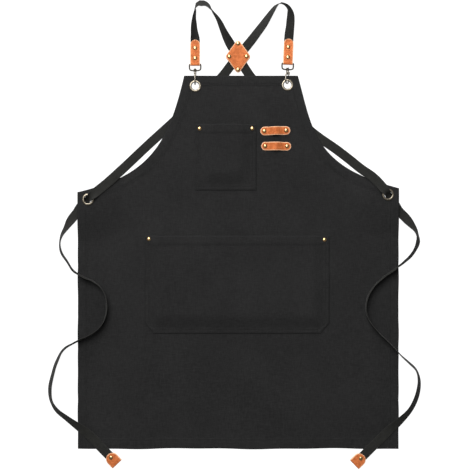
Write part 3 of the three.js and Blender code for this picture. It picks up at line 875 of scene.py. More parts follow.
@dataclass(frozen=True)
class Swell:
    """A broad wave of the cloth that wanders from side to side."""

    height: float
    length: float
    wander: Ripple
    phase: float = 0.0

    def at(self, along: float, across: float) -> float:
        """Height of the wave, never below 0."""
        turn = along / self.length + self.wander.at(across) + self.phase
        return self.height * (0.5 + 0.5 * math.sin(turn))


GROMMETS: dict[str, Place] = {
    "bib_grommet_left": Place(-92.0, 377.8),
    "bib_grommet_right": Place(105.8, 380.1),
    "waist_grommet_left": Place(-322.0, 134.6),
    "waist_grommet_right": Place(321.4, 145.0),
}
GROMMET_HOLE = 8.0
GROMMET_RIM = 13.0
CHEST_RIVETS = (Place(-82.9, 286.5), Place(30.0, 286.8))
HAND_RIVETS = (Place(-192.0, 49.5), Place(185.5, 48.0))


@dataclass(frozen=True)
class Panel:
    """The hemmed canvas panel, bib and skirt in one."""

    bottom: float = -400.0
    top: float = 400.0
    left: Side = Side(-345.0, 150.0, ((-345, 150), (-191, 186), (-150, 254), (-116, 400)))
    right: Side = Side(345.0, 158.6, ((345, 158.6), (162, 206), (160, 284), (128, 400)))
    rises: tuple[Rise, ...] = (Rise(100, 240, 2.3), Rise(235, 362, 5.5))
    lifts: tuple[Lift, ...] = (
        Lift(GROMMETS["waist_grommet_left"], 9.5, 18, 100),
        Lift(GROMMETS["waist_grommet_right"], 9.5, 18, 100),
        Lift(HAND_RIVETS[0], 1.5, 8, 40),
        Lift(HAND_RIVETS[1], 1.5, 8, 40),
    )
    hem: tuple[float, ...] = (0, 0.4, 1.2, 3, 6, 9.5, 13, 15.5, 16.6, 17.6, 18.8, 20, 21.5, 24)
    seam: float = 17.6
    groove_depth: float = 0.4
    groove_width: float = 1.3
    pucker: Ripple = Ripple(0.16, 1.9)
    pucker_in: float = 3.0
    pucker_width: float = 4.0
    hem_fade: tuple[float, float] = (19.0, 22.0)
    edge_round: float = 1.2
    edge_rim: float = 2.2
    cell: float = 6.0
    arm_rows: int = 64
    broad: Swell = Swell(0.7, 41, Ripple(0.9, 97))
    cross: Swell = Swell(0.6, 53, Ripple(1.3, 120), 1.0)
    wave_fade: tuple[float, float] = (190.0, 262.0)
    sway: tuple[Ripple, ...] = (Ripple(0.55, 31), Ripple(0.35, 13, 1.0))
    sway_from: tuple[float, float] = (300.0, 345.0)
    sway_fade: tuple[float, float] = (90.0, 130.0)
    sag: float = 1.9
    sag_ripples: tuple[Ripple, ...] = (Ripple(0.8, 47, 0.6), Ripple(0.5, 19))
    sag_reach: float = 70.0
    doubled_past_rim: float = 9.0
    fine_past_rim: float = 8.0
    cut_past_hole: float = 1.6
    seam_past_rim: float = 1.5

    def under(self, x: float, y: float) -> float:
        """Height of the underside, without its small waves."""
        z = sum(rise.height * smoothstep(y, rise.start, rise.end) for rise in self.rises)
        for lift in self.lifts:
            away = math.hypot(x - lift.at.x, y - lift.at.y)
            z += max(0.0, lift.height - z) * fade(away, lift.flat, lift.reach)
        return z

    def wave(self, x: float, y: float) -> float:
        """Soft waves of cloth that has been folded, none where the straps lie on it."""
        return fade(abs(x), *self.wave_fade) * (self.broad.at(x, y) + self.cross.at(y, x))

    def face(self, x: float, y: float) -> float:
        """Height of the front of the single cloth."""
        return self.under(x, y) + self.wave(x, y) + CANVAS_THICK

    def solid_front(self, x: float, y: float) -> float:
        """Height of the solid's front face, thicker in hems and round grommets."""
        from_side = min(x - self.left.x_at(y), self.right.x_at(y) - x)
        from_end = min(y - self.bottom, self.top - y)
        hemmed = min(from_side, from_end) < HEM_WIDTH + 0.01
        doubled = near(x, y, GROMMETS.values(), GROMMET_RIM + self.doubled_past_rim)
        return self.under(x, y) + (HEM_THICK if hemmed or doubled else CANVAS_THICK)

    def rails(self, side: Side) -> list[tuple[Vector, Vector]]:
        """Pairs of points, on an edge and at the hem's inner line, from the bottom to the top.

        Args:
            side: the edge.

        Returns:
            One pair for each row of the panel.
        """
        deep = self.hem[-1]
        sign = 1 if side.edge < 0 else -1
        inner_x = side.edge + sign * deep
        low, high = self.bottom + deep, self.top - deep
        heights = [self.bottom + d for d in self.hem]
        pairs = [(Vector((side.edge, y)), Vector((inner_x, y))) for y in heights]
        meets = side.solve(lambda t: sign * side.inside(t, deep).x, sign * inner_x)
        corner = side.inside(meets, deep).y
        for share in spread(0, 1, self.cell / (self.left.waist - low)):
            outer = Vector((side.edge, lerp(low, side.waist, share)))
            pairs.append((outer, Vector((inner_x, lerp(low, corner, share)))))
        ends = side.solve(lambda t: side.armhole(t).y, high)
        inner_ends = side.solve(lambda t: side.inside(t, deep).y, high)
        for share in [0.0, *spread(0, 1, 1 / self.arm_rows)]:
            inner = side.inside(lerp(meets, inner_ends, share), deep)
            pairs.append((side.armhole(lerp(0, ends, share)), inner))
        last = side.inside(inner_ends, deep)
        inset = last.x - side.x_at(last.y)
        for y in [self.top - d for d in reversed(self.hem)]:
            x = side.x_at(y)
            pairs.append((Vector((x, y)), Vector((x + inset, y))))
        return pairs

    def settle(self, x: float, y: float) -> tuple[float, float]:
        """Move a point with the small waves of the sewn sides and the sagging bottom edge."""
        sway = sum(ripple.at(y) for ripple in self.sway)
        sway *= smoothstep(abs(x), *self.sway_from) * fade(y, *self.sway_fade)
        sag = sum((ripple.at(x) for ripple in self.sag_ripples), self.sag)
        sag *= fade(y, self.bottom, self.bottom + self.sag_reach)
        return x + math.copysign(sway, x), y - sag

    def plan(self) -> tuple[list[list[Vector]], list[list[float]]]:
        """Lay the cloth's grid out.

        Returns:
            The points, and the distance of each from the nearest edge, as rows from the bottom.
        """
        wide = self.right.edge - self.left.edge - 2 * self.hem[-1]
        inner = [0.0, *spread(0, 1, self.cell / wide), 1.0]
        *hem, deep = self.hem
        points, depths = [], []
        rails = list(zip(self.rails(self.left), self.rails(self.right)))
        for r, ((left, left_in), (right, right_in)) in enumerate(rails):
            from_end = self.hem[min(r, len(rails) - 1 - r, len(hem))]
            row = [left.lerp(left_in, d / deep) for d in hem]
            row += [left_in.lerp(right_in, share) for share in inner]
            row += [right.lerp(right_in, d / deep) for d in reversed(hem)]
            sides = [*hem, *(deep for _ in inner), *reversed(hem)]
            points.append(row)
            depths.append([min(d, from_end) for d in sides])
        return points, depths

    def front(self, x: float, y: float, depth: float) -> float:
        """Height of the front face at a distance from the nearest edge."""
        extra = (HEM_THICK - CANVAS_THICK) * fade(depth, *self.hem_fade)
        groove = self.groove_depth * bell(depth - self.seam, self.groove_width)
        pucker = self.pucker.at(x + y) * bell(depth - self.seam + self.pucker_in, self.pucker_width)
        round_off = nearness(depth, self.edge_round) ** 2
        return self.face(x, y) + extra - groove + pucker - round_off

    def build(self, wardrobe: Wardrobe) -> None:
        """Make the cloth and its hem stitching."""
        points, depths = self.plan()
        bm = bmesh.new()
        hem = bm.verts.layers.float.new("hem")
        for vert, column, row in lay_grid(bm, len(points[0]), len(points)):
            vert.co = points[row][column].to_3d()
            vert[hem] = depths[row][column]
        self._open_grommets(bm)
        rim = bm.verts.layers.float.new("rim")
        tops = thicken(bm)
        for vert in bm.verts:
            x, y = vert.co.x, vert.co.y
            level = self.front(x, y, vert[hem]) if vert in tops else self.under(x, y) + self.wave(x, y)
            # Rim: painted shade along the rounded hem edge, darkening the canvas to its edge colour.
            vert[rim] = 0.6 * nearness(vert[hem], self.edge_rim)
            vert.co = (*self.settle(x, y), level)
        bm.verts.layers.float.remove(hem)
        area = self._area(points)
        cloth = to_object(bm, PANEL_CLOTH)
        wardrobe.dress(cloth, Slot.CANVAS, ["panel"])
        self._stitch(points, wardrobe)

    def _open_grommets(self, bm: BMesh) -> None:
        """Refine the cloth at each grommet and cut its hole, whose edge the flange hides."""
        fine, hidden = GROMMET_RIM + self.fine_past_rim, GROMMET_HOLE + self.cut_past_hole
        for spot in GROMMETS.values():
            centre = Vector((spot.x, spot.y, 0))
            edges = [edge for edge in bm.edges
                     if all((vert.co - centre).length < fine for vert in edge.verts)]
            bmesh.ops.subdivide_edges(bm, edges=edges, cuts=3, use_grid_fill=True)
            inside = [face for face in bm.faces
                      if (face.calc_center_median() - centre).length < hidden]
            bmesh.ops.delete(bm, geom=inside, context="FACES")

    @staticmethod
    def _area(points: list[list[Vector]]) -> float:
        """Flat area inside the outline."""
        loop = [*points[0], *(row[-1] for row in points[1:]), *reversed(points[-1][:-1]),
                *(row[0] for row in reversed(points[1:-1]))]
        pairs = zip(loop, [*loop[1:], loop[0]])
        return abs(sum(a.x * b.y - b.x * a.y for a, b in pairs)) / 2

    def _stitch(self, points: list[list[Vector]], wardrobe: Wardrobe) -> None:
        """Sew the hem all round along the seam line, except where a grommet covers it."""
        at = min(range(len(self.hem)), key=lambda i: abs(self.hem[i] - self.seam))
        rows, columns = len(points), len(points[0])
        runs = [[points[r][c] for r in range(at, rows - at)] for c in (at, columns - 1 - at)]
        runs += [points[r][at:columns - at] for r in (at, rows - 1 - at)]

        def level(point: Vector) -> float:
            """Height of the hem under a stitch."""
            return self.front(point.x, point.y, self.seam)

        def shows(point: Vector) -> bool:
            """True where no grommet covers the seam."""
            return not near(point.x, point.y, GROMMETS.values(), GROMMET_RIM + self.seam_past_rim)

        wardrobe.sew(Stitching("panel_stitching", pitch=4.0).build(runs, level, shows))


@dataclass(frozen=True)
class Stitching:
    """A joined run of lock stitches."""

    name: str
    pitch: float
    length: float = 0.72
    width: float = 0.42
    height: float = 0.34
    sunk: float = 0.45

    def _one(self) -> tuple[np.ndarray, np.ndarray]:
        """Make one stitch.

        Returns:
            Its points and its triangles.
        """
        bm = bmesh.new()
        bmesh.ops.create_uvsphere(bm, u_segments=6, v_segments=4, radius=1.0)
        bmesh.ops.triangulate(bm, faces=bm.faces[:])
        half = Vector((self.pitch * self.length / 2, self.width, self.height))
        bmesh.ops.rotate(bm, cent=(0, 0, 0), matrix=Matrix.Rotation(math.pi / 2, 3, "Y"), verts=bm.verts)
        bmesh.ops.scale(bm, vec=half, verts=bm.verts)
        bm.verts.index_update()
        points = np.array([vert.co[:] for vert in bm.verts])
        faces = np.array([[vert.index for vert in face.verts] for face in bm.faces])
        bm.free()
        return points, faces

    def build(self, runs: Sequence[Sequence[Vector]], level: Callable[[Vector], float],
              shows: Callable[[Vector], bool]) -> Object:
        """Lay stitches along flat paths.

        Args:
            runs: the paths.
            level: height of the cloth under a stitch.
            shows: says where a stitch shows.

        Returns:
            The joined stitches.
        """
        points, faces = self._one()
        all_points, all_faces = [], []
        for here, ahead in (step for path in runs for step in self._steps(path)):
            if not shows(here):
                continue
            rise = (level(here + ahead) - level(here - ahead)) / 2
            along = Vector((ahead.x, ahead.y, rise)).normalized()
            side = Vector((-along.y, along.x, 0)).normalized()
            turn = np.array((along, side, along.cross(side)))
            middle = np.array((here.x, here.y, level(here) + self.height * self.sunk))
            all_faces.append(faces + len(all_points) * len(points))
            all_points.append(points @ turn + middle)
        mesh = bpy.data.meshes.new(self.name)
        mesh.from_pydata((np.concatenate(all_points) * MM).tolist(), [], np.concatenate(all_faces).tolist())
        mesh.shade_smooth()
        return add_object(self.name, mesh)

    def _steps(self, path: Sequence[Vector]) -> Iterator[tuple[Vector, Vector]]:
        """Walk a path, giving the middle and the unit heading of each stitch."""
        travelled, due = 0.0, self.pitch / 2
        for start, end in zip(path, path[1:]):
            span = (end - start).length
            while span > 0 and due <= travelled + span:
                heading = (end - start) / span
                yield start + heading * (due - travelled), heading
                due += self.pitch
            travelled += span


@dataclass(frozen=True)
class Rivet:
    """Two-capped brass rivet."""

    cap: float = 4.3
    dome: float = 1.6
    shank: float = 1.3
    back: float = 3.4
    back_thick: float = 0.8
    seat_gap: float = 0.06
    skirt: float = 0.25

    def build(self, node: str, low: float, high: float, matrix: Matrix, wardrobe: Wardrobe) -> None:
        """Set a rivet through everything between two heights.

        Args:
            node: the solid that it replaces.
            low: lower face of what it clamps.
            high: upper face of what it clamps.
            matrix: its place, in millimetres.
            wardrobe: the materials.
        """
        foot, seat = low - CLEARANCE, high + self.seat_gap
        profile = []
        # Rim values darken the dome's rounded edge and the cap's underside: painted shade, with tarnish
        # under the cap.
        for degrees, rim in ((0, 0.0), (15, 0.0), (30, 0.0), (45, 0.05), (60, 0.15), (75, 0.4), (90, 0.75)):
            a = math.radians(degrees)
            height = seat + self.skirt + (self.dome - 0.05) * math.cos(a)
            profile.append((self.cap * math.sin(a), height, rim))
        profile += [
            (self.cap * 0.95, seat, 1.0),
            (self.shank, seat, 1.0),
            (self.shank, foot, 1.0),
            (self.back * 0.96, foot, 0.8),
            (self.back, foot - 0.35, 0.5),
            (self.back * 0.85, foot - self.back_thick, 0.2),
            (0, foot - self.back_thick, 0.0),
        ]
        piece = to_object(lathe(profile, 28), node + "_stud", matrix)
        wardrobe.dress(piece, Slot.BRASS, [node])


@dataclass(frozen=True)
class Bench:
    """What every sub-assembly is made with: the materials, the cloth and the rivet."""

    wardrobe: Wardrobe
    panel: Panel
    rivet: Rivet

    def rivet_down(self, node: str, at: Vector | Place, level: Callable[[float, float], float]) -> None:
        """Rivet a piece to the panel.

        Args:
            node: the rivet's solid.
            at: the rivet's place.
            level: height of the piece's front.
        """
        cap = self.rivet.cap
        high = max(level(at.x, at.y + d) for d in (-cap, 0, cap))
        low = self.panel.under(at.x, at.y - self.rivet.back)
        self.rivet.build(node, low, high, Matrix.Translation((at.x, at.y, 0)), self.wardrobe)


@dataclass(frozen=True)
class Grommet:
    """Rolled brass eyelet."""

    hole: float = GROMMET_HOLE
    rim: float = GROMMET_RIM
    flange: float = 1.0

    def build(self, node: str, at: Place, bench: Bench) -> None:
        """Set one grommet.

        Args:
            node: the solid that it replaces.
            at: its middle.
            bench: the materials and the cloth it clamps.
        """
        inside = HEM_THICK / 2 + CLEARANCE
        outside = inside + self.flange + 0.1
        # Rim values darken the barrel in the hole and the outer roll: painted shade on the rolled edges,
        # partly tarnish in the hole.
        half = [
            (self.hole, 0.0, 1.0),
            (self.hole + 0.05, inside * 0.7, 1.0),
            (self.hole + 0.35, inside + 0.45, 0.9),
            (self.hole + 0.95, outside - 0.18, 0.5),
            (self.hole + 1.9, outside, 0.0),
            (self.hole + 2.9, outside - 0.06, 0.0),
            (self.hole + 3.9, outside - 0.32, 0.2),
            (self.rim - 0.3, inside + 0.36, 0.8),
            (self.rim, inside + 0.12, 0.9),
            (self.rim - 0.35, inside - 0.12, 1.0),
            (self.hole + 0.8, inside - 0.12, 1.0),
        ]
        profile = [*half, *[(radius, -z, rim) for radius, z, rim in reversed(half)]]
        where = Matrix.Translation((at.x, at.y, bench.panel.under(at.x, at.y) + HEM_THICK / 2))
        piece = to_object(lathe(profile, 48), node + "_ring", where)
        bench.wardrobe.dress(piece, Slot.BRASS, [node], material=bench.wardrobe.eyelet)


@dataclass(frozen=True)
class PatchPocket:
    """Canvas patch sewn down at its sides and bottom and bowed off the panel up to its mouth."""

    name: str
    left: float
    right: float
    bottom: float
    top: float
    bow: float
    rivets: tuple[Place, ...]
    cut_x: float = 0.0
    cut_y: float = 0.0
    edges: tuple[float, ...] = (0, 0.5, 1.2, 2, 3, 5, 7, 8, 9, 11, 14)
    mouth: tuple[float, ...] = (22, 20, 19, 18, 17, 14, 10, 6, 3, 1.2, 0.5, 0)
    cell: float = 4.5
    rows_of_thread: tuple[float, float] = (2.0, 8.0)
    mouth_seam: float = 18.0
    groove_depth: float = 0.32
    groove_width: float = 1.0
    fold: float = 0.6
    side_fade: tuple[float, float] = (8.6, 10.6)
    mouth_fade: tuple[float, float] = (18.6, 20.4)
    edge_drop: float = 0.9
    edge_round: float = 1.2
    pucker: Ripple = Ripple(0.12, 2.3)
    pucker_slant: float = 1.7
    pucker_fade: tuple[float, float] = (9.0, 13.0)
    bow_rise: tuple[float, float] = (4.0, 42.0)
    under_gap: float = 0.1
    front_gap: float = 0.15
    thinnest: float = 0.3

    def inset(self, up: float) -> float:
        """How far the cut-off lower corner pulls a side in."""
        return self.cut_x * max(0.0, 1 - up / self.cut_y) if self.cut_y else 0.0

    def from_seams(self, x: float, up: float) -> tuple[float, float, float]:
        """Distance from each sewn edge: left, right and bottom."""
        inset = self.inset(up)
        return x - self.left - inset, self.right - inset - x, up

    def bulge(self, x: float, up: float) -> float:
        """Height of the bow at a place."""
        return self.bow * math.prod(smoothstep(d, *self.bow_rise) for d in self.from_seams(x, up))

    def level(self, panel: Panel, x: float, y: float) -> float:
        """Height of the pocket's front face."""
        up = y - self.bottom
        depth = min(self.from_seams(x, up))
        from_mouth = self.top - y
        folded = max(fade(depth, *self.side_fade), fade(from_mouth, *self.mouth_fade))
        from_threads = [*(depth - row for row in self.rows_of_thread), from_mouth - self.mouth_seam]
        groove = sum(self.groove_depth * bell(offset, self.groove_width) for offset in from_threads)
        edge = self.edge_drop * nearness(min(depth, from_mouth), self.edge_round) ** 2
        pucker = self.pucker.at(x + self.pucker_slant * y) * fade(depth, *self.pucker_fade)
        base = panel.face(x, y) + self.front_gap + self.bulge(x, up) + CANVAS_THICK
        return base + self.fold * folded - groove - edge + pucker

    def build(self, bench: Bench) -> None:
        """Make the patch, its stitching and its corner rivets.

        Args:
            bench: the materials, the cloth it is sewn on and the rivet to set.
        """
        panel = bench.panel
        tall = self.top - self.bottom
        deep = self.edges[-1]
        corner = [self.cut_y] if self.cut_y else []
        rise = [*self.edges, *spread(deep, tall - self.mouth[0], self.cell), *corner]
        rise = sorted({*rise, *(tall - d for d in self.mouth)})
        middle = [0.0, *spread(0, 1, self.cell / (self.right - self.left)), 1.0]

        def spot(column: int, row: int) -> Spot:
            """Place of the patch at a column and a row."""
            up = rise[row]
            y = self.bottom + up
            low_x, high_x = self.left + self.inset(up), self.right - self.inset(up)
            across = [low_x + d for d in self.edges[:-1]]
            across += [lerp(low_x + deep, high_x - deep, share) for share in middle]
            across += [high_x - d for d in reversed(self.edges[:-1])]
            x = across[column]
            low = panel.face(x, y) + self.under_gap + self.bulge(x, up)
            high = max(low + self.thinnest, self.level(panel, x, y))
            # Rim: painted shade along the patch's folded edges and mouth.
            rim = 0.35 * nearness(min(*self.from_seams(x, up), self.top - y), 2.0)
            return Spot(Vector((x, y, low)), Vector((x, y, high)), rim)

        node = self.name + "_pocket"
        columns = 2 * (len(self.edges) - 1) + len(middle)
        cloth = to_object(wall(columns, len(rise), spot), node + "_cloth")
        bench.wardrobe.dress(cloth, Slot.CANVAS, [node])
        self._stitch(node, bench)
        for i, place in enumerate(self.rivets):
            bench.rivet_down(f"{self.name}_rivet_{i + 1}", place, lambda x, y: self.level(panel, x, y))

    def _stitch(self, node: str, bench: Bench) -> None:
        """Sew two rows round the patch and one along its mouth, except under the rivets."""
        def level(point: Vector) -> float:
            """Height of the cloth under a stitch."""
            return self.level(bench.panel, point.x, point.y)

        def shows(point: Vector) -> bool:
            """True where no rivet covers the seam."""
            return not near(point.x, point.y, self.rivets, bench.rivet.cap + 0.7)

        runs = []
        for depth in self.rows_of_thread:
            run = [Vector((self.left + depth, self.top - 1))]
            if self.cut_y:
                run.append(Vector((self.left + depth, self.bottom + self.cut_y)))
            run.append(Vector((self.left + self.cut_x + depth, self.bottom + depth)))
            mirrored = [Vector((self.left + self.right - p.x, p.y)) for p in reversed(run)]
            runs.append([*run, *mirrored])
        mouth = self.top - self.mouth_seam
        inner = self.rows_of_thread[1]
        runs.append([Vector((self.left + inner, mouth)), Vector((self.right - inner, mouth))])
        bench.wardrobe.sew(Stitching(node + "_stitching", pitch=3.4).build(runs, level, shows))


POCKETS = (
    PatchPocket("chest", -92.4, 39.0, 154.5, 296.2, 7.5, CHEST_RIVETS),
    PatchPocket("hand", -201.4, 196.2, -153.6, 56.6, 7.0, HAND_RIVETS, cut_x=19.0, cut_y=23.0),
)


@dataclass(frozen=True)
class ToolLoop:
    """Leather strip with round ends, bowed up between two rivets."""

    node: str
    x: float
    y: float
    tilt: float
    length: float = 64.0
    width: float = 18.0
    bow: float = 7.5
    rivet_at: float = 23.4
    bow_half: float = 18.0
    cell: float = 2.2

    def build(self, bench: Bench) -> None:
        """Make the strip and its rivets.

        Args:
            bench: the materials, the cloth it is riveted to and the rivet to set.
        """
        panel = bench.panel
        end = self.width / 2
        straight = self.length / 2 - end
        stops = [*spread(0, straight, self.cell), straight]
        stops += [straight + end * math.sin(math.radians(a)) for a in (12, 25, 38, 50, 62, 72, 80, 86)]
        along = both_sides(*stops)
        shares = both_sides(0.4, 0.7, 0.88, 0.96, 1)
        turn = Matrix.Rotation(math.radians(self.tilt), 2)

        def plan(d: float, across: float) -> Vector:
            """Point of the panel under the strip."""
            return Vector((self.x, self.y)) + turn @ Vector((d, across))

        def spot(column: int, row: int) -> Spot:
            """Place of the strip at a column and a row."""
            d = along[row]
            past = max(0.0, abs(d) - straight)
            across = shares[column] * math.sqrt(end * end - past * past)
            at = plan(d, across)
            bowed = abs(d) < self.bow_half
            bow = self.bow * 0.5 * (1 + math.cos(math.pi * d / self.bow_half)) if bowed else 0
            low = panel.face(at.x, at.y) + LOOP_SEAT + bow
            return leather_spot(lambda up: Vector((at.x, at.y, low + up)), end - math.hypot(past, across))

        piece = to_object(wall(len(shares), len(along), spot), self.node + "_strip")
        bench.wardrobe.dress(piece, Slot.LEATHER, [self.node])
        for i, sign in enumerate((-1, 1)):
            bench.rivet_down(f"{self.node}_rivet_{i + 1}", plan(sign * self.rivet_at, 0),
                             lambda x, y: panel.face(x, y) + LOOP_SEAT + LEATHER_THICK)


TOOL_LOOPS = (
    ToolLoop("tool_loop_upper", 79.6, 282.0, 1.5),
    ToolLoop("tool_loop_lower", 81.6, 249.0, -0.5),
)


@dataclass(frozen=True)
class CrossPatch:
    """Two leather diamonds, riveted together over the crossing of the straps."""

    x: float = -0.4
    y: float = 441.6
    half_wide: float = 27.5
    half_tall: float = 38.0
    corner: float = 6.0
    rivet_x: float = 18.5
    rivet_y: float = 28.0
    back_z: float = 1.3
    dome_centre: float = 7.1
    dome_drop: float = 2.0
    dome_from: float = 17.0
    dome_to: float = 36.0
    cell: float = 1.8

    @property
    def slant(self) -> float:
        """Length of a sharp-cornered side."""
        return math.hypot(self.half_wide, self.half_tall)

    @property
    def tall(self) -> float:
        """Half height with its corners rounded."""
        return self.half_tall - self.corner * self.slant / self.half_wide + self.corner

    def half_at(self, y: float) -> float:
        """Half width of the rounded diamond at a height over its middle."""
        up = abs(y)
        if up < self.corner * self.half_wide / self.slant:
            inset = self.half_wide - self.corner * self.slant / self.half_tall
            return inset + math.sqrt(self.corner**2 - up**2)
        centre = self.half_tall - self.corner * self.slant / self.half_wide
        if up > centre + self.corner * self.half_wide / self.slant:
            return math.sqrt(max(0.04, self.corner**2 - (up - centre) ** 2))
        return self.half_wide * (1 - up / self.half_tall)

    def dome(self, x: float, y: float) -> float:
        """Height of the front diamond's underside."""
        return self.dome_centre - self.dome_drop * smoothstep(math.hypot(x, y), self.dome_from, self.dome_to)

    def build(self, bench: Bench) -> None:
        """Make both diamonds and their rivets.

        Args:
            bench: the materials and the rivet to set.
        """
        self._diamond("cross_front", self.dome, bench.wardrobe)
        self._diamond("cross_back", lambda x, y: self.back_z, bench.wardrobe)
        corners = ((self.rivet_x, 0), (-self.rivet_x, 0), (0, self.rivet_y), (0, -self.rivet_y))
        for i, (x, y) in enumerate(corners):
            high = self.dome(math.hypot(x, y) - bench.rivet.cap, 0) + LEATHER_THICK
            where = Matrix.Translation((self.x + x, self.y + y, 0))
            bench.rivet.build(f"cross_rivet_{i + 1}", self.back_z, high, where, bench.wardrobe)

    def _diamond(self, node: str, underside: Callable[[float, float], float], wardrobe: Wardrobe) -> None:
        """Make one diamond.

        Args:
            node: the solid that it replaces.
            underside: height of its underside from its middle.
            wardrobe: the materials.
        """
        tall = self.tall
        heights = [-tall + 0.02, -tall + 0.4, *spread(-tall, tall, self.cell), tall - 0.4, tall - 0.02]
        shares = both_sides(0.28, 0.55, 0.78, 0.91, 0.97, 1)

        def spot(column: int, row: int) -> Spot:
            """Place of the diamond at a column and a row."""
            y = heights[row]
            half = self.half_at(y)
            x = shares[column] * half
            inside = min((half - abs(x)) * (self.half_tall / self.slant), tall - abs(y))
            low = underside(x, y)
            return leather_spot(lambda up: Vector((x, y, low + up)), inside)

        where = Matrix.Translation((self.x, self.y, 0))
        piece = to_object(wall(len(shares), len(heights), spot), node + "_patch", where)
        wardrobe.dress(piece, Slot.LEATHER, [node])


@dataclass(frozen=True)
class FoldedLeather:
    """Leather folded round a core and riveted over the end of a strap."""

    node: str
    rivet_name: str
    width: float
    length: float
    core: float
    end_depth: float
    rivets: tuple[float, ...]
    blend: float = 6.0

    def _path(self) -> list[tuple[Vector, Vector, float]]:
        """Follow the leather's inner face from the end of one layer round the fold to the other.

        Returns:
            The point, the outward direction and the distance along the strap, for each step.
        """
        half = WEBBING_THICK / 2 + CLEARANCE
        leg = [self.length - d for d in (0.02, 0.5, 1.2, 2.6)]
        leg += [*spread(leg[-1], self.blend, 2.0), *(self.blend * k for k in (1, 0.75, 0.5, 0.25))]
        upper = []
        for y in leg:
            z = lerp(self.core, half, smoothstep(y, 0, self.blend)) if y <= self.blend else half
            upper.append((Vector((y, z)), Vector((0, 1)), y))
        for degrees in range(90, 0, -15):
            a = math.radians(degrees)
            out = Vector((-math.cos(a), math.sin(a)))
            upper.append((out * self.core, out, 0.0))
        lower = [(Vector((p.x, -p.y)), Vector((n.x, -n.y)), y) for p, n, y in reversed(upper)]
        tip = (Vector((-self.core, 0)), Vector((-1, 0)), 0.0)
        return [*upper, tip, *lower]

    def build(self, matrix: Matrix, bench: Bench) -> None:
        """Make the leather and its rivets.

        Args:
            matrix: place of the fold, with the strap along +Y.
            bench: the materials and the rivet to set.
        """
        path = self._path()
        shares = both_sides(0.33, 0.66, 0.88, 0.96, 1)

        def spot(column: int, row: int) -> Spot:
            """Place of the leather at a column and a row."""
            point, out, along = path[row]
            past = max(0.0, along - (self.length - self.end_depth))
            reach = self.width / 2 * math.sqrt(max(0.0, 1 - (past / self.end_depth) ** 2))
            x = shares[column] * reach
            inside = min(reach - abs(x), self.length - along)
            return leather_spot(lambda up: Vector((x, *(point + out * up))), inside)

        piece = to_object(wall(len(shares), len(path), spot), self.node + "_leather", matrix)
        bench.wardrobe.dress(piece, Slot.LEATHER, [self.node])
        half = WEBBING_THICK / 2 + CLEARANCE + LEATHER_THICK
        for i, along in enumerate(self.rivets):
            name = f"{self.rivet_name}_{i + 1}" if len(self.rivets) > 1 else self.rivet_name
            where = matrix @ Matrix.Translation((0, along, 0))
            bench.rivet.build(name, -half, half, where, bench.wardrobe)


@dataclass(frozen=True)
class Station:
    """One station of a strap's route: its place, roll in degrees, lift, curl and what it lies on."""

    x: float
    y: float
    roll: float
    lift: float
    curl: float = 0.0
    on: Support = Support.TABLE


# Threading a waist grommet: along the way through the hole, height of the strap, curl of its edges.
THREAD_WAY = (
    (-21, 12.2, 25), (-14, 13.3, 80), (-9.5, 13.6, 135), (-6.8, 12.1, 160), (-4.2, 8.9, 166),
    (-1.2, 4.5, 160), (1.5, 1.2, 125), (5, 0.4, 85), (9, 0.3, 58), (15, 0.2, 35), (24, 0.2, 15),
)


def through(grommet: str, heading: tuple[float, float]) -> list[Station]:
    """Stations of a strap that dives through a waist grommet.

    Args:
        grommet: the grommet's name.
        heading: the strap's direction there.

    Returns:
        The stations.
    """
    at = GROMMETS[grommet]
    return [Station(at.x + d * heading[0], at.y + d * heading[1], 0, height, curl)
            for d, height, curl in THREAD_WAY]


def stations(*rows: tuple[float, ...], on: Support = Support.TABLE) -> list[Station]:
    """Stations from rows of x, y, roll, lift and, where the strap curls, curl."""
    return [Station(*row, on=on) for row in rows]


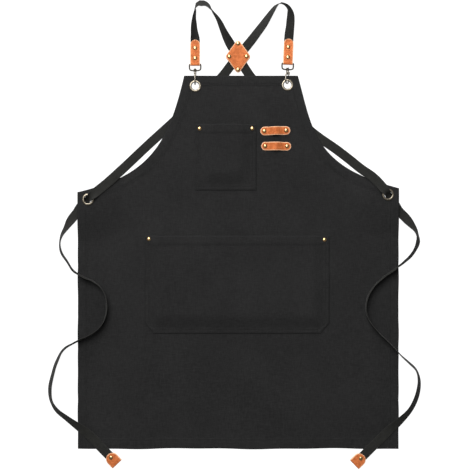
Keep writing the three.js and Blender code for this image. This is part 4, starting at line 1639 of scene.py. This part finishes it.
LEFT_ROUTE = [
    *stations(
        (-92.6, 429, 0, 7.02), (-92.6, 452.3, 0, 4.8), (-92.6, 478, -8, 2.2), (-93.4, 488, -32, 0.7),
        (-94.5, 498, -45, 0.4), (-94.9, 512, -56, 0.2), (-94.5, 524, -69, 0.2), (-93.8, 535, -79, 0.2, 25),
        (-93, 544.3, -92, 0.2, 60), (-91, 549.8, -108, 0.2, 55), (-87, 553.8, -129, 0.2, 20),
        (-81.5, 556, -140, 0.2), (-75, 555.9, -138, 0.2), (-66, 551.6, -122, 0.2),
        (-59.5, 545.6, -106, 0.2, 35), (-55, 540.2, -94, 0.2, 60), (-45.8, 527.3, -75, 0.2, 30),
        (-38, 511, -59, 0.3), (-30.8, 494.5, -48, 0.9), (-22.6, 478.5, -28, 2), (-13, 462, 0, 3.2),
        (-0.4, 441.6, 0, 3.2), (11, 422, 0, 3.2), (16.5, 413.5, 0, 3), (27, 398.5, 0, 1.9),
        (51, 373, 0, 0.4), (101, 330, 0, 0.2), (172, 269.5, 0, 0.2), (213, 241, 0, 0.3), (240, 220, 0, 2.2)),
    *stations((264, 200, 0, 0.5), (289, 182, 0, 0.6), on=Support.PANEL),
    *through("waist_grommet_right", (0.61, -0.79)),
    *stations(
        (345, 111, 0, 0.2), (360.6, 94.6, 6, 0.2), (372.5, 79.7, 38, 0.2), (381, 67.9, 59, 0.2),
        (385, 56.5, 68, 0.2), (385.9, 44.4, 56, 0.2), (378.8, 25.7, 63, 0.2), (368.3, 11.4, 65, 0.4),
        (356, 2, 70, 2.5, 30), (345, -6.4, 80, 2.5, 60), (332.4, -16.2, 93, 2.5, 40), (312, -32, 93, 1.7),
        (290, -53, 91, 1.7), (277, -77, 91, 1.7), (273.5, -100, 91, 1.7), (280, -123, 89, 1.7),
        (297, -146, 87, 1.7), (319, -168, 86, 2.3), (334, -183, 86, 2.5), (350, -201.1, 83, 2.5),
        (366.8, -216.2, 78, 0.4), (381.7, -231.2, 76, 0.2), (387.9, -252.4, 65, 0.2),
        (387.1, -271.5, 57, 0.2), (381.5, -293.4, 52, 0.2), (369.9, -316.1, 49, 0.8), (349, -339, 34, 2.4),
        (326, -360, 10, 2.4), (306, -380, 0, 2.4), (287, -398.5, 0, 2.6), (270, -415.5, 0, 3.1),
        (254, -431.2, 0, 3.1)),
]

RIGHT_ROUTE = [
    *stations(
        (106.7, 431.2, -180, 7.02), (107.7, 454.6, -180, 4.8), (108.8, 480.3, -178, 2.37),
        (110, 494, -166, 1), (111.2, 504, -154, 0.5), (112.4, 519, -149, 0.2), (112.3, 534, -131, 0.2),
        (109.6, 543.6, -108, 0.2), (104.5, 550, -98, 0.2), (99.4, 553.6, -91, 0.2), (92.5, 555.8, -86, 0.2),
        (86, 553.6, -77, 0.2), (80.5, 549, -66, 0.2), (74, 540.2, -57, 0.2), (64.4, 525.9, -44, 0.3),
        (54.8, 511.5, -30, 0.7), (42, 494.5, -20, 1.4), (29, 477.5, -10, 2.2), (16, 461.5, 0, 3.6),
        (9.4, 453.4, 0, 5.1), (-0.4, 441.5, 0, 5.1), (-10.2, 429.6, 0, 5.1), (-16.8, 421.5, 0, 3.6),
        (-31, 403, 0, 1.9), (-60, 373, 0, 0.4), (-100, 337, 0, 0.2), (-151, 291, 0, 0.2),
        (-203, 243.5, 0, 0.2), (-236, 212, 0, 1.8)),
    *stations((-258, 191, 0, 0.5), (-283, 168, 0, 0.6), on=Support.PANEL),
    *through("waist_grommet_left", (-0.74, -0.673)),
    *stations(
        (-346, 108, 0, 0.2), (-358.1, 92.3, -12, 0.2), (-369, 73.8, -49, 0.2), (-378.3, 58.3, -65, 0.2),
        (-382.6, 42, -75, 0.2), (-379.8, 21.4, -69, 0.2), (-366.5, 1.8, -71, 0.3, 20),
        (-351, -18.9, -76, 2.5, 55), (-340, -26, -84, 2.5, 60), (-330, -32, -92, 2.5, 40),
        (-313, -40, -92, 1.7), (-297, -52, -87, 1.7), (-285.5, -71, -80, 1.7), (-282, -93, -77, 1.7),
        (-285.5, -119, -81, 1.7), (-297, -141, -92, 1.7), (-314, -155, -98, 2.2),
        (-331, -164, -98, 2.5, 25), (-351, -174, -93, 2.5, 60), (-372.3, -187.2, -80, 0.3, 55),
        (-389, -213, -67, 0.2), (-398.3, -242.5, -64, 0.2), (-404.1, -274, -60, 0.2),
        (-400.9, -298.6, -63, 0.2), (-389.5, -317.7, -54, 0.2), (-369, -334.4, -46, 0.7),
        (-348.1, -349.8, -32, 2.4), (-327, -366, -10, 2.4), (-310, -382, 0, 2.4), (-295, -398.5, 0, 2.6),
        (-280, -413.5, 0, 3.1), (-264.8, -429.6, 0, 3.1)),
]


@dataclass(frozen=True)
class Sample:
    """A place on a strap between its stations."""

    x: float
    y: float
    base: float
    roll: float
    curl: float


@dataclass(frozen=True)
class WebbingStrap:
    """A webbing strap: it lies flat, stands on edge, and curls up to pass its grommet."""

    node: str
    route: Sequence[Station]
    step: float = 5.0

    def _rows(self, panel: Panel) -> list[tuple[float, ...]]:
        """Stations as plain rows with the height of the strap's lower side."""
        half = WEBBING_WIDTH / 2
        made = []
        for station in self.route:
            base = station.lift
            if station.on is Support.PANEL:
                around = [(dx, dy) for dx in (-half, 0, half) for dy in (-half, 0, half)]
                base += max(panel.solid_front(station.x + dx, station.y + dy) for dx, dy in around)
            made.append((station.x, station.y, base, station.roll, station.curl))
        return made

    @staticmethod
    def _slope(before: float, after: float, spans: tuple[float, float], hold: bool) -> float:
        """Slope at a station; a held value never overshoots.

        Args:
            before: change over the span before.
            after: change over the span after.
            spans: the two lengths.
            hold: keep the value from overshooting.

        Returns:
            The slope.
        """
        first, second = before / spans[0], after / spans[1]
        if hold:
            return 0.0 if first * second <= 0 else 2 * first * second / (first + second)
        return (first * spans[1] + second * spans[0]) / (spans[0] + spans[1])

    def samples(self, panel: Panel) -> list[Sample]:
        """Ease evenly spaced samples through the stations.

        Args:
            panel: the cloth that the strap lies on.

        Returns:
            The samples from the hook's end to the tip.
        """
        rows = self._rows(panel)
        spans = [math.dist(a[:3], b[:3]) for a, b in zip(rows, rows[1:])]
        changes = [[end - start for start, end in zip(a, b)] for a, b in zip(rows, rows[1:])]
        slopes = [[change / spans[0] for change in changes[0]]]
        for i in range(1, len(spans)):
            pair = (spans[i - 1], spans[i])
            both = enumerate(zip(changes[i - 1], changes[i]))
            slopes.append([self._slope(before, after, pair, k > 1) for k, (before, after) in both])
        slopes.append([change / spans[-1] for change in changes[-1]])
        made = []
        for i, span in enumerate(spans):
            count = max(1, round(span / self.step))
            for step in range(0 if i == 0 else 1, count + 1):
                t = step / count
                values = []
                for start, end, leaves, meets in zip(rows[i], rows[i + 1], slopes[i], slopes[i + 1]):
                    value = start * (1 + 2 * t) * (1 - t) ** 2 + end * t * t * (3 - 2 * t)
                    value += span * (leaves * t * (1 - t) ** 2 - meets * t * t * (1 - t))
                    values.append(value)
                made.append(Sample(*values))
        return made

    def build(self, bench: Bench) -> None:
        """Weave the strap along its route.

        Args:
            bench: the materials and the cloth that it lies on.
        """
        samples = self.samples(bench.panel)
        centres = []
        for sample in samples:
            angle = math.radians(sample.roll)
            rise = WEBBING_WIDTH / 2 * abs(math.sin(angle)) + WEBBING_THICK / 2 * abs(math.cos(angle))
            centres.append(Vector((sample.x, sample.y, sample.base + rise)))
        travelled = [0.0]
        for start, end in zip(centres, centres[1:]):
            travelled.append(travelled[-1] + (end - start).length)
        shares = both_sides(0.3, 0.6, 0.82, 0.94, 1)
        last = len(centres) - 1

        def spot(column: int, row: int) -> Spot:
            """Place of the webbing at a column and a row."""
            sample = samples[row]
            ahead = (centres[min(row + 1, last)] - centres[max(row - 1, 0)]).normalized()
            side = ahead.cross(Vector((0, 0, 1))).normalized()
            up = side.cross(ahead)
            turn = Matrix.Rotation(-math.radians(sample.roll), 3, ahead)
            side, up = turn @ side, turn @ up
            bend = max(math.radians(sample.curl), 0.01)
            radius = WEBBING_WIDTH / bend
            share = shares[column]
            angle = share * bend / 2
            point = centres[row] + side * radius * math.sin(angle) + up * radius * (1 - math.cos(angle))
            face = up * math.cos(angle) - side * math.sin(angle)
            thin = 1 - 0.55 * smoothstep(abs(share), 0.88, 1.0)
            half = face * WEBBING_THICK / 2 * thin
            # Rim: painted highlight along the selvedges, where a standing strap's top edge catches the
            # light.
            rim = smoothstep(abs(share), 0.93, 1.0)
            return Spot(point - half, point + half, rim, share * WEBBING_WIDTH / 2, travelled[row])

        piece = to_object(wall(len(shares), len(samples), spot), self.node + "_webbing")
        nodes = [f"{self.node}_{part}" for part in ("shoulder", "back", "tie")]
        bench.wardrobe.dress(piece, Slot.WEBBING, nodes)


STRAPS = (WebbingStrap("strap_left", LEFT_ROUTE), WebbingStrap("strap_right", RIGHT_ROUTE))


def turned(degrees: float, axis: str) -> Matrix:
    """Turn about an axis."""
    return Matrix.Rotation(math.radians(degrees), 4, axis)


@dataclass(frozen=True)
class SwivelHook:
    """Eye, swivelling hook and sprung gate of one strap end, with the folded tab that holds it."""

    side: str
    x: float
    y: float
    lean: float
    swivel: float
    z: float = 8.2
    bar: float = 13.4
    eye_wire: float = 1.1
    eye_shown: float = 1.55
    hook_wire: float = 1.5
    boss: float = 3.2
    collar: float = 2.9
    gate_down: float = 8.4
    gate_drop: float = -5.2
    gate_end: float = 18.8
    tab_slope: float = -5.4
    cheek: tuple[float, float, float] = (1.0, 6.2, 6.0)
    cheek_at: tuple[float, float, float] = (2.05, -7.3, -4.0)
    lip: tuple[float, float, float] = (2.0, 2.6, 0.8)
    lip_at: tuple[float, float, float] = (0.0, -18.8, -7.6)

    def build(self, bench: Bench) -> None:
        """Make the clasp's pieces.

        Args:
            bench: the materials and the rivet to set.
        """
        wardrobe = bench.wardrobe
        place = Matrix.Translation((self.x, self.y, self.z)) @ turned(self.lean, "Z")
        eye = to_object(self._eye(), f"eye_{self.side}_loop", place)
        wardrobe.dress(eye, Slot.NICKEL, [f"eye_{self.side}"], material=wardrobe.eye)
        swung = place @ turned(self.swivel, "Y")
        for part, form, shape in (("hook", "bow", self._hook), ("gate", "lever", self._gate)):
            node = f"{part}_{self.side}"
            wardrobe.dress(to_object(shape(), f"{node}_{form}", swung), Slot.NICKEL, [node], node)
        fold = place @ Matrix.Translation((0, self.bar, 0)) @ turned(self.tab_slope, "X")
        tab = FoldedLeather(
            f"strap_tab_{self.side}", f"tab_rivet_{self.side}", width=21.0, length=53.5,
            core=self.eye_wire + 0.5, end_depth=10.5, rivets=(13.0, 35.5))
        tab.build(fold, bench)

    def _axial(self, bm: BMesh, radius: float, start: float, end: float, edge: float = 0.25) -> None:
        """Add a drum along the clasp's axis between two distances down from the swivel."""
        place = Matrix.Translation((0, -(start + end) / 2, 0)) @ turned(90, "X")
        drum(bm, radius, end - start, place, edge)

    def _across(self, bm: BMesh, radius: float, half: float, edge: float = 0.2) -> None:
        """Add a drum across the clasp at the gate's hinge."""
        place = Matrix.Translation((0, -self.gate_down, self.gate_drop)) @ turned(90, "Y")
        drum(bm, radius, 2 * half, place, edge)

    def _eye(self) -> BMesh:
        """Make the flat-topped eye and its boss."""
        bm = bmesh.new()
        bar = self.bar
        half = ((0, bar), (6, bar), (10.5, bar), (11.9, bar - 0.7), (12.2, bar - 2.4), (12.1, 5.2),
                (10.9, 1.9), (7.8, 0.4), (4, 0.1))
        right = [Vector((x, y, 0)) for x, y in half]
        left = [Vector((-x, y, 0)) for x, y in reversed(half[1:])]
        path = catmull([*right, Vector((0, 0, 0)), *left], 4, closed=True)
        wire(bm, path, Vector((0, 0, 1)), [self.eye_shown] * len(path), 12, closed=True)
        self._axial(bm, self.boss, -2.6, -1.2)
        self._axial(bm, self.boss * 0.92, -1.2, 1.2)
        self._axial(bm, self.boss, 1.2, 2.6)
        return bm

    def _hook(self) -> BMesh:
        """Make the swivelling hook: head, collar, bent wire, gate cheeks and lip."""
        bm = bmesh.new()
        bend = ((5, 0), (6.6, 2.6), (9.4, 5.2), (13.5, 6.5), (22.5, 6.5), (27, 5.2), (29.2, 2.6), (29.6, 0),
                (29.2, -2.6), (27, -5.2), (23.5, -6.4), (19.2, -6.5))
        path = catmull([Vector((0, -down, z)) for down, z in bend], 5)
        count = len(path) - 1
        radii = [self.hook_wire * (1 - 0.12 * smoothstep(i / count, 0.7, 1.0)) for i in range(count + 1)]
        wire(bm, path, Vector((1, 0, 0)), radii, 14)
        self._axial(bm, 2.5, -4.4, -3.0)
        self._axial(bm, 1.2, -3.2, 5.0, 0.1)
        self._axial(bm, self.collar, 3.0, 6.0, 0.5)
        across, *rest = self.cheek_at
        for x in (across, -across):
            block(bm, self.cheek, (x, *rest), 0.3)
        self._across(bm, 0.7, 2.75, 0.15)
        block(bm, self.lip, self.lip_at, 0.2)
        return bm

    def _gate(self) -> BMesh:
        """Make the gate: hinge barrel and tapered lever."""
        bm = bmesh.new()
        self._across(bm, 1.9, 1.2)
        reach = self.gate_end - self.gate_down
        middle = Vector((0, -(self.gate_down + self.gate_end) / 2, self.gate_drop - 0.35))
        ahead = Matrix.Rotation(0.06, 3, "X") @ Vector((0, -1, 0))
        path = [middle + ahead * reach * (share - 0.5) for share in (0.0, 0.25, 0.5, 0.75, 1.0)]
        wire(bm, path, Vector((1, 0, 0)), [0.95, 0.93, 0.9, 0.95, 1.0], 12)
        return bm


CLASPS = (
    SwivelHook("left", -92.6, 411.0, lean=0.0, swivel=0.0),
    SwivelHook("right", 105.9, 413.2, lean=-2.5, swivel=-32.0),
)


@dataclass(frozen=True)
class TieTip:
    """Leather tip on the loose end of a strap."""

    side: str
    at: Place
    turn: float
    height: float = 3.85

    def build(self, bench: Bench) -> None:
        """Make the tip.

        Args:
            bench: the materials and the rivet to set.
        """
        tip = FoldedLeather(
            f"tie_tip_{self.side}", f"tip_rivet_{self.side}", width=27.0, length=26.0,
            core=WEBBING_THICK / 2 + CLEARANCE, end_depth=13.0, rivets=(17.0,))
        tip.build(Matrix.Translation((self.at.x, self.at.y, self.height)) @ turned(self.turn, "Z"), bench)


TIE_TIPS = (TieTip("left", Place(-261.8, -432.6), 43.5), TieTip("right", Place(251.3, -433.8), -45.6))


@dataclass(frozen=True)
class Lamp:
    """A square soft lamp that faces the apron: watts, metres."""

    name: str
    power: float
    size: float
    place: tuple[float, float, float]

    def build(self) -> None:
        """Hang the lamp."""
        light = bpy.data.lights.new(self.name, "AREA")
        light.energy = self.power
        light.size = self.size
        lamp = add_object(self.name, light)
        lamp.location = self.place
        lamp.rotation_euler = (-Vector(self.place)).to_track_quat("-Z", "Y").to_euler()


@dataclass(frozen=True)
class Stage:
    """Pale floor, soft studio light and the camera over the table, in metres."""

    eye_height: float = 2.39
    aim: tuple[float, float] = (-0.0069, 0.0582)
    lens: float = 85.0
    floor_reach: float = 12.0
    floor_gap: float = 0.0001
    floor_tone: float = 0.12
    floor_glow: float = 0.99
    room_light: float = 0.24
    lamps: tuple[Lamp, ...] = (
        Lamp("softbox", 225.0, 2.5, (-1.0, 2.15, 3.8)),
        Lamp("top_lamp", 12.0, 0.5, (-0.25, 0.55, 3.0)),
        Lamp("back_lamp", 32.0, 1.0, (-0.4, 2.1, 0.45)),
    )

    def build(self) -> None:
        """Set the stage."""
        self._floor()
        self._world()
        for lamp in self.lamps:
            lamp.build()
        self._camera()
        bpy.context.scene.view_settings.view_transform = "Standard"

    def _floor(self) -> None:
        """Lay the floor just under the apron."""
        bm = bmesh.new()
        bmesh.ops.create_grid(bm, x_segments=8, y_segments=8, size=self.floor_reach / 2)
        bmesh.ops.translate(bm, vec=Vector((0, 0, CAD_BOX[0].z - self.floor_gap)), verts=bm.verts)
        mesh = bpy.data.meshes.new("floor")
        bm.to_mesh(mesh)
        bm.free()
        floor = add_object("floor", mesh)
        material = bpy.data.materials.new("floor_paint")
        material.use_nodes = True
        tree = material.node_tree
        tone = (self.floor_tone, self.floor_tone, self.floor_tone, 1.0)
        NodeSheet(tree).fill(
            tree.nodes["Principled BSDF"], Base_Color=tone, Roughness=0.9,
            Emission_Color=(1.0, 1.0, 1.0, 1.0), Emission_Strength=self.floor_glow)
        floor.data.materials.append(material)
        floor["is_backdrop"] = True

    def _world(self) -> None:
        """Fill the room with even light."""
        world = bpy.data.worlds.new("studio")
        world.use_nodes = True
        tree = world.node_tree
        NodeSheet(tree).fill(
            tree.nodes["Background"], Color=(1.0, 1.0, 1.0, 1.0), Strength=self.room_light)
        bpy.context.scene.world = world

    def _camera(self) -> None:
        """Look straight down on the apron."""
        data = bpy.data.cameras.new("camera")
        data.lens = self.lens
        camera = add_object("camera", data)
        camera.location = (*self.aim, self.eye_height)
        bpy.context.scene.camera = camera


def write_sizes() -> None:
    """Put the solids' box and the dressed box side by side, in plain lists."""
    boxes = {"cad": CAD_BOX, "visual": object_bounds()}
    plain = {name: [list(corner) for corner in box] for name, box in boxes.items()}


def main() -> None:
    """Build the apron in the order it is sewn."""
    logging.basicConfig(level=logging.INFO, format="%(name)s: %(message)s")
    Stage().build()
    bench = Bench(Wardrobe(), Panel(), Rivet())
    for strap in STRAPS:
        strap.build(bench)
    bench.panel.build(bench.wardrobe)
    for piece in (*POCKETS, *TOOL_LOOPS):
        piece.build(bench)
    for node, place in GROMMETS.items():
        Grommet().build(node, place, bench)
    for piece in (CrossPatch(), *CLASPS, *TIE_TIPS):
        piece.build(bench)
    write_sizes()


if __name__ == "__main__":
    main()
